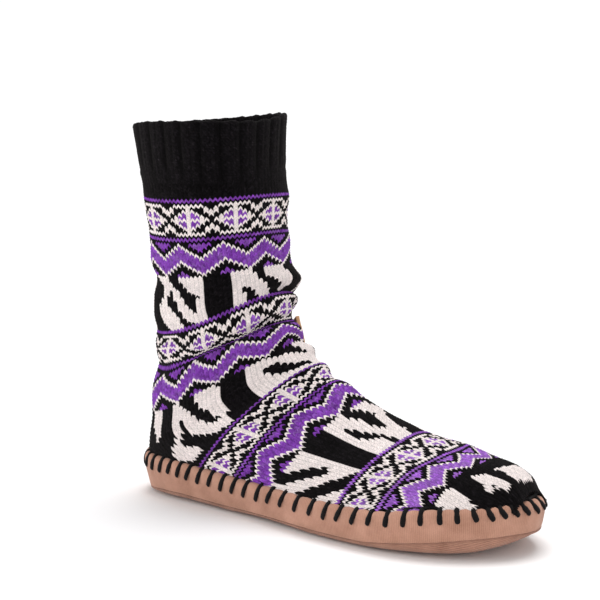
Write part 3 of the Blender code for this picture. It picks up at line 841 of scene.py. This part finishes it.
def knit_piece(name, row_from, row_to, stitch_from, stitch_to, closed, tuck):
    rng = np.random.default_rng(abs(int(row_from)) + 7)
    rows = np.arange(row_from, row_to + 0.01, 0.5)
    stitches = np.arange(stitch_from, stitch_to, 0.25)
    if not closed:
        stitches = np.append(stitches, stitch_to)
    k = np.arange(len(stitches)) % 4
    # base points on even lines, then shifted along the rows to make the inverted V
    line = shifted(rows[:, None] + ZIG[k][None, :], stitches[None, :])
    line = np.maximum.accumulate(line + np.arange(len(rows))[:, None] * 1e-4, axis=0)
    line = np.clip(line, row_from if row_from > -30 else -30.0, min(row_to, 192.3))
    even = np.arange(np.floor(row_from) - 1, min(row_to + 1, 192.3) + 0.01, 0.5)
    even = even[(even >= -30.0) & (even <= 192.3)]
    base = tube(even, stitches)
    push = creases(even[:, None], stitches[None, :])
    flat = normals_of(base, closed)
    base = base + flat * push[..., None]
    norm = normals_of(base, closed)
    j = np.clip(np.searchsorted(even, line, side="right") - 1, 0, len(even) - 2)
    t = ((line - even[j]) / (even[j + 1] - even[j]))[..., None]
    cols = np.broadcast_to(np.arange(len(stitches))[None, :], line.shape)
    pts = base[j, cols] * (1 - t) + base[j + 1, cols] * t
    nn = norm[j, cols] * (1 - t) + norm[j + 1, cols] * t
    half = (np.arange(len(rows)) % 2)[:, None]
    relief = np.where(half == 1, RELIEF_BODY[k][None, :], RELIEF_LINE[k][None, :])
    wide = np.linalg.norm(np.roll(base, -2, 1) - base, axis=2)
    wide = np.clip(np.median(wide, axis=1)[j[:, 0]] / 1.4, 0.5, 1.2)[:, None]
    relief = relief * wide + rng.normal(0.0, 0.06, relief.shape)
    pts = pts + nn * relief[..., None]
    nr, nc = pts.shape[:2]
    cols_n = nc if closed else nc - 1
    fr = np.floor(rows[:-1] + 1e-6).astype(int)[:, None]
    fs = np.floor(stitches[:cols_n] + 1e-6).astype(int)[None, :]
    fr, fs = np.broadcast_arrays(fr, fs)
    whole_r, whole_s = np.unique(fr), np.unique(fs)
    yarn = chart(whole_s[None, :], whole_r[:, None])
    rgb = yarn_colours(yarn, rng, whole_r[:, None])
    ri = fr - whole_r[0]
    si = fs - whole_s[0]
    face_rgb = rgb[ri, si]
    # painted shade between the stitches, a little uneven at random
    painted_shade = np.where(half == 1, PAINTED_SHADE_BODY[k][None, :], PAINTED_SHADE_LINE[k][None, :])
    painted_shade = painted_shade * (1.0 + rng.normal(0.0, 0.06, painted_shade.shape))
    c1 = (np.arange(cols_n) + 1) % nc
    c0 = np.arange(cols_n)
    corner = np.stack([painted_shade[:-1][:, c0], painted_shade[:-1][:, c1],
                       painted_shade[1:][:, c1], painted_shade[1:][:, c0]], axis=2)
    # painted glints: black yarn, and less so purple and white, lighter or darker from fibre to fibre
    painted_glint = np.exp(rng.normal(0.0, 0.55, painted_shade.shape))
    painted_glint = np.stack([painted_glint[:-1][:, c0], painted_glint[:-1][:, c1], painted_glint[1:][:, c1], painted_glint[1:][:, c0]], 2)
    black = (yarn[ri, si] == BLACK)[:, :, None]
    purple = (yarn[ri, si] == PURPLE)[:, :, None]
    corner = corner * np.where(black, painted_glint, np.where(purple, painted_glint ** 0.35, painted_glint ** 0.06))
    corner_rgb = face_rgb[:, :, None, :] * corner[..., None]
    low = pts[..., 2] < band_edge(pts[..., 0]) - tuck
    bad = low[:-1][:, c0] | low[:-1][:, c1] | low[1:][:, c1] | low[1:][:, c0]
    flat_face = np.linalg.norm(pts[:-1][:, c0] - pts[:-1][:, c1], axis=2) < 1e-4
    obj = grid_object(name, pts, ~(bad | flat_face), corner_rgb, closed)
    obj.data.materials.append(KNIT)
    face_outwards(obj)
    return obj


leg = knit_piece("knit_leg", -8.0, 97.0, -45.0, 45.0, True, 4.0)
foot = knit_piece("knit_foot", 97.0, 192.0, -46.0, 46.0, False, 4.0)

# ---------------------------------------------------------------- ribbed cuff
WALES = 92
CUFF_FROM, CUFF_TO = -30.0, -6.0


# How far the rim stands above its level round, by stitch, in millimetres.
RIM_COLUMNS = ("stitch", "lift")
RIM = ((-45, -1.8), (-30, 0.8), (-15, 4.2), (-8, 4.0), (-2, 1.8), (3, 0.4), (12, 0.7), (20, 0.6),
       (28, 0.1), (35, -1.4), (45, -1.8))


def cuff_piece():
    rng = np.random.default_rng(3)
    cols = np.arange(WALES * 4)
    k = cols % 4
    stitches = -45.0 + cols * (ROUND / (WALES * 4.0))
    rim = np.interp(stitches, [r[0] for r in RIM], [r[1] for r in RIM])
    # ribs of three wales with one wale sunk between them, none quite like the next
    wander = 0.5 * np.sin(stitches * 0.31) + 0.3 * np.sin(stitches * 0.83 + 1.0)
    rib = np.cos(2.0 * pi * (cols + 2.0 + wander) / 16.0 + pi * 0.25)
    rib = 0.35 + 0.65 * rib - 0.35 * np.cos(4.0 * pi * (cols + 2.0 + wander) / 16.0 + pi * 0.5)
    outer_rows = np.arange(CUFF_TO, CUFF_FROM - 0.01, -0.5)
    outer = tube(outer_rows, stitches, 0.0)
    inner = tube(outer_rows[::-1], stitches, 2.6)
    n_out = normals_of(outer, True)
    n_in = normals_of(inner, True)
    fade = smooth((CUFF_TO - 3.0 - outer_rows) / 6.0)[:, None]
    half = (np.arange(len(outer_rows)) % 2)[:, None]
    stitch_relief = np.where(half == 1, RELIEF_BODY[k][None, :], RELIEF_LINE[k][None, :]) * 0.75
    height = 0.12 + 0.60 * rib[None, :] * fade + stitch_relief
    height = height + 0.4 * np.exp(-((outer_rows + 9.0) / 1.3) ** 2)[:, None]
    height = height + rng.normal(0.0, 0.05, height.shape)
    outer = outer + n_out * height[..., None]
    inner = inner + n_in * (-0.2 + 0.3 * rib[None, :] * fade[::-1])[..., None]
    raise_ = smooth((-14.0 - outer_rows) / 16.0)[:, None] * rim[None, :]
    outer[..., 2] += raise_
    inner[..., 2] += raise_[::-1]
    # rounded top between the two walls
    top_o, top_i = outer[-1], inner[0]
    arc = []
    lift = 1.3 + 0.35 * rib + 0.25 * np.sin(stitches * 1.7) + rng.normal(0.0, 0.08, len(cols))
    for a in np.linspace(0.12, 0.88, 7):
        mix = 0.5 - 0.5 * np.cos(pi * a)
        p = top_o * (1 - mix) + top_i * mix
        p = p.copy()
        p[:, 2] += lift * np.sin(pi * a)
        arc.append(p)
    pts = np.concatenate([outer, np.array(arc), inner], axis=0)
    nr, nc = pts.shape[:2]
    c0 = np.arange(nc)
    c1 = (c0 + 1) % nc
    line = (np.arange(nr) % 2)[:, None]
    # painted shade: darker between the stitches and in the troughs between the ribs, lighter on the rib
    # crests, with painted glints from fibre to fibre
    cuff_shade_and_glint = np.where(line == 1, PAINTED_SHADE_BODY[k][None, :], PAINTED_SHADE_LINE[k][None, :])
    cuff_shade_and_glint = cuff_shade_and_glint * (0.85 + 0.55 * rib[None, :]) * np.exp(rng.normal(0.0, 0.55, (nr, nc)))
    corner = np.stack([cuff_shade_and_glint[:-1][:, c0], cuff_shade_and_glint[:-1][:, c1], cuff_shade_and_glint[1:][:, c1], cuff_shade_and_glint[1:][:, c0]], 2)
    rgb = YARN[BLACK][None, None, None, :] * corner[..., None]
    obj = grid_object("knit_cuff", pts, None, rgb, True)
    obj.data.materials.append(KNIT)
    face_outwards(obj)
    return obj


cuff = cuff_piece()

# ---------------------------------------------------------------- lining
def lining_piece():
    rows = np.arange(-8.0, 192.1, 2.0)
    stitches = np.arange(-45.0, 45.0, 1.0)
    out = np.zeros((len(rows), len(stitches), 3))
    for i, r in enumerate(rows):
        q, s = ring(r, 2.6)
        length = s[-1]
        a = stitches / ROUND * length
        ss = np.concatenate([s[:-1] - length, s])
        qq = np.vstack([q[:-1], q])
        for k in range(3):
            out[i, :, k] = np.interp(a, ss, qq[:, k])
    n = normals_of(out, True)
    out = out + n * (creases(rows[:, None], stitches[None, :]) * 0.8)[..., None]
    low = out[..., 2] < band_edge(out[..., 0]) - 9.0
    # nothing of it reaches past the knitting at the toe
    toe_side = np.array([[sides(min(max(x, 4.0), 256.0), 5.0) for x in line] for line in out[..., 0]])
    low |= (-out[..., 1] > toe_side[..., 0]) & (out[..., 0] > 150.0)
    low |= (out[..., 1] > toe_side[..., 1]) & (out[..., 0] > 150.0)
    low |= out[..., 0] > 254.0
    c0 = np.arange(len(stitches))
    c1 = (c0 + 1) % len(stitches)
    bad = low[:-1][:, c0] | low[:-1][:, c1] | low[1:][:, c1] | low[1:][:, c0]
    obj = grid_object("lining", out, ~bad, None, True)
    obj.data.materials.append(LINING)
    face_outwards(obj)
    obj.data.flip_normals()
    return obj


lining = lining_piece()

# ---------------------------------------------------------------- blanket stitches
# Where each stitch crosses the band's edge, in mm along the outline from the heel, outer side
# first; how far its foot leans towards the heel; how long it is.
STITCH_AT = [1.5, 11.0, 20.5, 29.0, 36.8, 45.0, 53.0, 60.5, 68.3, 76.9, 85.9, 95.3, 104.5, 113.8,
             124.1, 133.8, 143.9, 155.0, 166.6, 176.9, 186.8, 196.8, 206.6, 216.7, 226.6, 235.6,
             245.4, 254.3, 262.9, 270.8, 277.5, 284.4, 291.3, 298.9, 307.5, 316.5]
while STITCH_AT[-1] < 580.0:
    STITCH_AT.append(STITCH_AT[-1] + 9.4 + 0.5 * sin(len(STITCH_AT) * 2.3))
LEAN = ((0, 1.5), (60, 2.0), (120, 3.0), (165, 2.6), (197, 2.8), (207, 2.0), (217, 1.0),
        (227, 0.6), (236, -0.2), (245, -0.5), (254, -1.0), (263, -2.0), (271, -2.6), (284, -3.0),
        (306, -3.0), (330, -1.5), (380, 2.0), (598, 1.5))
LONG = ((0, 8.6), (100, 9.0), (170, 8.8), (200, 7.8), (236, 6.9), (263, 6.3), (300, 6.4),
        (340, 8.0), (598, 8.6))
BAND_LOOP = outline_loop(2400)
BAND_S = np.concatenate([[0.0], np.cumsum(np.linalg.norm(
    np.diff(np.vstack([BAND_LOOP, BAND_LOOP[:1]]), axis=0), axis=1))])
BAND_LENGTH = BAND_S[-1]


def on_loop(s, inset):
    """A point of the outline and its outward normal at a distance along it."""
    s = np.mod(s, BAND_LENGTH)
    q = np.vstack([BAND_LOOP, BAND_LOOP[:1]])
    x = np.interp(s, BAND_S, q[:, 0])
    y = np.interp(s, BAND_S, q[:, 1])
    e = 1.5
    xa = np.interp(np.mod(s - e, BAND_LENGTH), BAND_S, q[:, 0])
    ya = np.interp(np.mod(s - e, BAND_LENGTH), BAND_S, q[:, 1])
    xb = np.interp(np.mod(s + e, BAND_LENGTH), BAND_S, q[:, 0])
    yb = np.interp(np.mod(s + e, BAND_LENGTH), BAND_S, q[:, 1])
    tx, ty = xb - xa, yb - ya
    k = np.hypot(tx, ty)
    nx, ny = ty / k, -tx / k
    return x - inset * nx, y - inset * ny, nx, ny


def near_stitch(s):
    """0 at a blanket stitch and 1 midway between two of them."""
    at = np.array(STITCH_AT)
    at = np.concatenate([[at[-1] - BAND_LENGTH], at, [BAND_LENGTH + at[0]]])
    s = np.mod(s, BAND_LENGTH)
    i = np.clip(np.searchsorted(at, s, side="right") - 1, 0, len(at) - 2)
    t = (s - at[i]) / (at[i + 1] - at[i])
    return np.sin(pi * np.clip(t, 0, 1)) ** 0.8


# Height of the seam between band and panel, and how far the panel's edge curls up off the
# underside, by distance along the outline.
SEAM_COLUMNS = ("along", "seam", "curl")
SEAM = ((0, 3.0, 1.2), (26, 3.2, 1.5), (45, 4.8, 1.9), (62, 5.0, 2.0), (82, 4.3, 1.6),
        (95, 4.0, 1.1), (133, 4.0, 0.2), (166, 3.7, 0.8), (201, 4.1, 1.3), (222, 6.6, 2.0),
        (231, 7.8, 1.9), (244, 9.3, 1.4), (255, 10.7, 0.9), (264, 11.5, 0.7), (284, 12.6, 2.3),
        (301, 12.4, 4.2), (325, 11.2, 3.6), (360, 7.6, 2.0), (400, 4.6, 1.4), (470, 4.0, 0.4),
        (520, 4.4, 1.4), (560, 4.8, 1.8), (598, 3.0, 1.2))


def seam_height(s):
    return np.interp(np.mod(s, BAND_LENGTH), [r[0] for r in SEAM], [r[1] for r in SEAM])


def seam_curl(s):
    return np.interp(np.mod(s, BAND_LENGTH), [r[0] for r in SEAM], [r[2] for r in SEAM])


# Section of the band: inset from the outline and height between the panel (0) and the edge (1).
BAND_PROFILE = ((2.7, 0.00), (2.15, 0.005), (1.92, 0.018), (1.75, 0.05), (1.4, 0.14), (0.95, 0.28),
                (0.45, 0.45), (0.1, 0.62), (0.0, 0.74), (0.25, 0.84), (0.7, 0.91), (1.4, 0.965),
                (2.3, 0.995), (3.2, 1.0), (4.4, 0.97), (5.4, 0.86), (6.0, 0.6))


def band_piece():
    count = 1280
    s = np.arange(count) / count * BAND_LENGTH
    open_ = near_stitch(s)
    rows = []
    for inset, rise in BAND_PROFILE:
        x, y, nx, ny = on_loop(s, 0.0)
        heel = np.clip((60.0 - x) / 60.0, 0.0, 1.0) ** 1.3
        taper = HEEL_TAPER * (1.0 - rise) * heel
        toe = smooth((x - 215.0) / 40.0)
        upper = smooth((rise - 0.6) / 0.4)
        puff = (open_ - 0.55) * 0.75 * smooth((rise - 0.25) / 0.5)
        inn = inset + taper + toe * upper * 1.2 - puff
        x, y, nx, ny = on_loop(s, inn)
        low = seam_height(s)
        high = band_edge(x) + (open_ - 0.6) * 1.1
        rows.append(np.column_stack([x, y, low + (high - low) * rise]))
    pts = np.array(rows)
    obj = grid_object("band_cover", pts, None, None, True)
    obj.data.materials.append(TAN)
    face_outwards(obj)
    return obj


band = band_piece()

UNDER = 0.06     # the underside clears the floor's plane by this much, in millimetres

# Bottom panel, from the seam round to the underside: inset, and its height as a share of the
# way from the underside's edge (0) up to the seam (1); then in under the foot (-1 is the floor).
PANEL_PROFILE = ((2.9, 1.10), (2.35, 1.0), (2.1, 0.94), (2.0, 0.84), (2.05, 0.66), (2.3, 0.48),
                 (2.8, 0.31), (3.5, 0.16), (4.5, 0.05), (6.0, -0.12), (9.0, -0.40), (13.0, -0.72),
                 (18.0, -0.93), (25.0, -1.0))


def panel_piece():
    count = 960
    s = np.arange(count) / count * BAND_LENGTH
    seam, curl = seam_height(s), seam_curl(s)
    rows = []
    for inset, level in PANEL_PROFILE:
        x, y, nx, ny = on_loop(s, 0.0)
        heel = np.clip((60.0 - x) / 60.0, 0.0, 1.0) ** 1.3
        if inset > 8.0:
            x, y = shrink(s, inset)
        else:
            x, y, nx, ny = on_loop(s, inset + HEEL_TAPER * heel)
        edge = spring(x) + UNDER + curl
        z = np.where(level > 0.0, edge + (seam - edge) * level,
                     spring(x) + UNDER + curl * (1.0 + min(level, 0.0)))
        rows.append(np.column_stack([x, y, z]))
    p = rows[-1]
    for t in (0.4, 0.75, 1.0):
        # towards the sole's long middle line
        px = p[:, 0]
        py = p[:, 1] * (1 - t) + t * np.interp(px, (30.0, 120.0, 200.0), (0.0, -1.0, 1.5))
        rows.append(np.column_stack([px, py, spring(px) + UNDER]))
    pts = np.array(rows)
    obj = grid_object("bottom_panel", pts, None, None, True)
    obj.data.materials.append(PANEL)
    face_outwards(obj)
    return obj


def shrink(s, inset):
    """Inner lines of the underside, drawn in without crossing."""
    x, y, nx, ny = on_loop(s, 6.0)
    cx = np.clip(x, 40.0, 215.0)
    cy = np.interp(cx, (30.0, 120.0, 200.0), (0.0, -1.0, 1.5))
    dx, dy = x - cx, y - cy
    d = np.hypot(dx, dy)
    k = np.clip((d - (inset - 6.0)) / np.maximum(d, 1e-6), 0.02, 1.0)
    return cx + dx * k, cy + dy * k


panel_obj = panel_piece()


# ---------------------------------------------------------------- yarn of the blanket stitch
def sweep(paths, name, mat, sides_n=8):
    """Joined tubes. Each path is (points, widths, thicknesses, outward directions)."""
    verts, quads = [], []
    for pts, width, thick, out in paths:
        pts = np.asarray(pts, float)
        tan = np.gradient(pts, axis=0)
        tan /= np.linalg.norm(tan, axis=1)[:, None]
        out = np.asarray(out, float)
        out = out - (out * tan).sum(1)[:, None] * tan
        out /= np.linalg.norm(out, axis=1)[:, None]
        side = np.cross(tan, out)
        first_v = len(verts)
        n = len(pts)
        for i in range(n):
            for j in range(sides_n):
                a = 2.0 * pi * j / sides_n
                verts.append(pts[i] + side[i] * cos(a) * width[i] / 2 + out[i] * sin(a) * thick[i] / 2)
        for i in range(n - 1):
            for j in range(sides_n):
                a = first_v + i * sides_n + j
                b = first_v + i * sides_n + (j + 1) % sides_n
                quads.append((a, b, b + sides_n, a + sides_n))
        quads.append(tuple(first_v + j for j in range(sides_n))[::-1])
        quads.append(tuple(first_v + (n - 1) * sides_n + j for j in range(sides_n)))
    mesh = bpy.data.meshes.new(name)
    mesh.from_pydata([tuple(v) for v in to_row(np.array(verts))], [], quads)
    mesh.polygons.foreach_set("use_smooth", [True] * len(mesh.polygons))
    mesh.validate()
    obj = bpy.data.objects.new(name, mesh)
    bpy.context.scene.collection.objects.link(obj)
    mesh.materials.append(mat)
    return obj


def band_surface(s, rise, lift):
    """A point just outside the band's face, at a distance along it and a share of its height."""
    profile = np.array(BAND_PROFILE[:14])
    inset = np.interp(rise, profile[:, 1], profile[:, 0])
    x, y, nx, ny = on_loop(s, 0.0)
    heel = np.clip((60.0 - x) / 60.0, 0.0, 1.0) ** 1.3
    toe = smooth((x - 215.0) / 40.0)
    open_ = near_stitch(s)
    puff = (open_ - 0.55) * 0.75 * smooth((rise - 0.25) / 0.5)
    inn = inset + HEEL_TAPER * (1 - rise) * heel + toe * smooth((rise - 0.6) / 0.4) * 1.2 - puff - lift
    x, y, nx, ny = on_loop(s, inn)
    low = float(seam_height(s))
    high = band_edge(x) + (open_ - 0.6) * 1.1
    return np.array([x, y, low + (high - low) * rise]), np.array([nx, ny, 0.0])


def stitch_paths():
    rng = np.random.default_rng(11)
    paths = []
    lean_t, long_t = np.array(LEAN), np.array(LONG)
    for s in STITCH_AT:
        lean = float(np.interp(s, lean_t[:, 0], lean_t[:, 1])) + rng.normal(0, 0.25)
        long_ = float(np.interp(s, long_t[:, 0], long_t[:, 1])) + rng.normal(0, 0.3)
        p_top, n_top = band_surface(s, 1.0, 0.0)
        height = float(band_edge(p_top[0]) - seam_height(s))
        pts, width, thick, out = [], [], [], []
        # over the edge, from the knitting down to the needle hole
        x, y, nx, ny = on_loop(s, 5.6)
        pts.append([float(x), float(y), p_top[2] + 1.3])
        out.append([nx * 0.2, ny * 0.2, 1.0])
        width.append(2.2)
        thick.append(1.6)
        x, y, nx, ny = on_loop(s, 4.0)
        pts.append([float(x), float(y), p_top[2] + 1.35])
        out.append([nx * 0.5, ny * 0.5, 0.9])
        width.append(2.5)
        thick.append(1.7)
        for i, t in enumerate((0.0, 0.08, 0.17, 0.28, 0.40, 0.53, 0.66, 0.78, 0.87, 0.93, 0.97, 1.0)):
            rise = 1.0 - t * long_ / height
            if i == 0:
                rise = 0.992
            p, n = band_surface(s - lean * t ** 1.3, rise, 0.30 - 0.55 * float(smooth((t - 0.86) / 0.14)))
            up = max(0.0, 1.0 - t / 0.16)
            if up > 0:
                p = p + np.array([0, 0, 0.9 * up])
            pts.append(list(p))
            out.append([n[0], n[1], 0.25 + 0.9 * up])
            blunt = np.sqrt(max(0.0, 1.0 - max(0.0, (t - 0.84) / 0.165) ** 2))
            w = (2.75 + 0.45 * sin(pi * min(1.0, t * 1.05))) * blunt
            width.append(max(0.3, w + rng.normal(0, 0.08)))
            thick.append(max(0.3, 1.65 * blunt))
        paths.append((pts, width, thick, out))
    # the yarn that runs along the edge from stitch to stitch
    at = STITCH_AT + [STITCH_AT[0] + BAND_LENGTH]
    pts, width, thick, out = [], [], [], []
    for a, b in zip(at, at[1:]):
        for i in range(8):
            t = i / 8.0
            s = a + (b - a) * t
            sag = sin(pi * t)
            x, y, nx, ny = on_loop(s, 4.0 + 0.5 * sag + 0.6 * float(smooth((on_loop(s, 0)[0] - 215) / 40)))
            z = float(band_edge(x)) + 0.9 + 0.35 * sag + rng.normal(0, 0.04)
            pts.append([float(x), float(y), z])
            out.append([nx, ny, 0.8])
            width.append(1.9 - 0.35 * sag)
            thick.append(1.7 - 0.3 * sag)
    pts.append(pts[0]); out.append(out[0]); width.append(width[0]); thick.append(thick[0])
    paths.append((pts, width, thick, out))
    return paths


stitches_obj = sweep(stitch_paths(), "blanket_stitch", BLACK_YARN)

# ---------------------------------------------------------------- patch on the ankle
def patch_piece():
    rows = np.linspace(60.5, 71.5, 12)
    st = np.linspace(-20.0, -11.0, 12)
    base = tube(rows, st)
    n = normals_of(base, False)
    base = base + n * (2.0 + 0.30 * creases(rows[:, None], st[None, :])[..., None])
    u = np.linspace(-1, 1, 12)
    crown = (1 - 0.35 * np.maximum(np.abs(u[:, None]), np.abs(u[None, :])) ** 6)
    top = base + n * (1.9 * crown)[..., None]
    ring_low = base - n * 0.9
    pts = np.concatenate([ring_low[:1], top, ring_low[-1:]], axis=0)
    pts = np.concatenate([np.concatenate([ring_low[:1, :1], ring_low[:, :1], ring_low[-1:, :1]], 0),
                          pts,
                          np.concatenate([ring_low[:1, -1:], ring_low[:, -1:], ring_low[-1:, -1:]], 0)],
                         axis=1)
    obj = grid_object("suede_patch", pts, None, None, False)
    obj.data.materials.append(SUEDE)
    face_outwards(obj, to_row(np.array([[60.0, 0.0, 90.0]]))[0])
    return obj


patch = patch_piece()

# ---------------------------------------------------------------- footbed
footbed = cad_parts["insole"]
footbed.data.materials.clear()
footbed.data.materials.append(FOAM)

for piece in (leg, foot, cuff, lining):
    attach(piece, "root")
    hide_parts("upper")
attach(patch, "root")
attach(band, "root")
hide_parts("side_band")
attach(panel_obj, "root")
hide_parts("outsole")
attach(stitches_obj, "root")

# ---------------------------------------------------------------- floor, light, camera
floor_mesh = bpy.data.meshes.new("floor")
R = 6.0
floor_mesh.from_pydata([(-R, -R, 0), (R, -R, 0), (R, R, 0), (-R, R, 0)], [], [(0, 1, 2, 3)])
floor = bpy.data.objects.new("floor", floor_mesh)
bpy.context.scene.collection.objects.link(floor)
fmat, fnt, fshader = new_material("studio_floor")
fshader.inputs["Base Color"].default_value = (0.972, 0.968, 0.970, 1.0)
fshader.inputs["Roughness"].default_value = 0.95
fshader.inputs["Specular IOR Level"].default_value = 0.0
floor_mesh.materials.append(fmat)

# A white sweep all round, dimmer overhead where one wide soft light does the work.
world = bpy.data.worlds.new("studio")
world.use_nodes = True
wnt = world.node_tree
background = wnt.nodes["Background"]
background.inputs["Color"].default_value = (1.0, 1.0, 1.0, 1.0)
sky = wnt.nodes.new("ShaderNodeTexCoord")
part_z = wnt.nodes.new("ShaderNodeSeparateXYZ")
wnt.links.new(sky.outputs["Generated"], part_z.inputs["Vector"])
level = wnt.nodes.new("ShaderNodeMapRange")
level.interpolation_type = "SMOOTHSTEP"
level.inputs["From Min"].default_value = 0.16
level.inputs["From Max"].default_value = 0.36
level.inputs["To Min"].default_value = 1.04
level.inputs["To Max"].default_value = 0.55
wnt.links.new(part_z.outputs["Z"], level.inputs["Value"])
wnt.links.new(level.outputs["Result"], background.inputs["Strength"])
bpy.context.scene.world = world


def area(name, where, target, size, power):
    data = bpy.data.lights.new(name, "AREA")
    data.shape = "DISK"
    data.size = size
    data.energy = power
    obj = bpy.data.objects.new(name, data)
    bpy.context.scene.collection.objects.link(obj)
    obj.location = where
    obj.rotation_euler = (Vector(target) - Vector(where)).to_track_quat("-Z", "Y").to_euler()
    return obj


area("key", (1.15, -1.25, 0.60), (0.0, 0.0, 0.08), 0.9, 5.0)
area("fill", (-1.3, -1.0, 0.5), (0.0, 0.0, 0.1), 1.0, 7.3)
soft = bpy.data.lights.new("overhead", "SUN")
soft.energy = 1.80
soft.angle = radians(34.0)
soft_obj = bpy.data.objects.new("overhead", soft)
bpy.context.scene.collection.objects.link(soft_obj)
soft_obj.rotation_euler = Vector((0.05, -0.24, -1.0)).to_track_quat("-Z", "Y").to_euler()

AZ = radians(37.3)
PITCH = np.arctan(212.0 / 1600.0)
cam_data = bpy.data.cameras.new("camera")
cam_data.lens = 96.0
cam_data.sensor_width = 36.0
cam_data.sensor_fit = "HORIZONTAL"
cam_data.clip_start = 0.05
cam_data.clip_end = 50.0
cam = bpy.data.objects.new("camera", cam_data)
bpy.context.scene.collection.objects.link(cam)
forward = Vector((-sin(AZ) * cos(PITCH), cos(AZ) * cos(PITCH), -sin(PITCH)))
cam.location = ((650.0 - ORIGIN[0]) * MM, (-708.0 - ORIGIN[1]) * MM, 0.239)
cam.rotation_euler = forward.to_track_quat("-Z", "Y").to_euler()
bpy.context.scene.camera = cam
bpy.context.scene.view_settings.view_transform = "Standard"
bpy.context.scene.view_settings.look = "None"
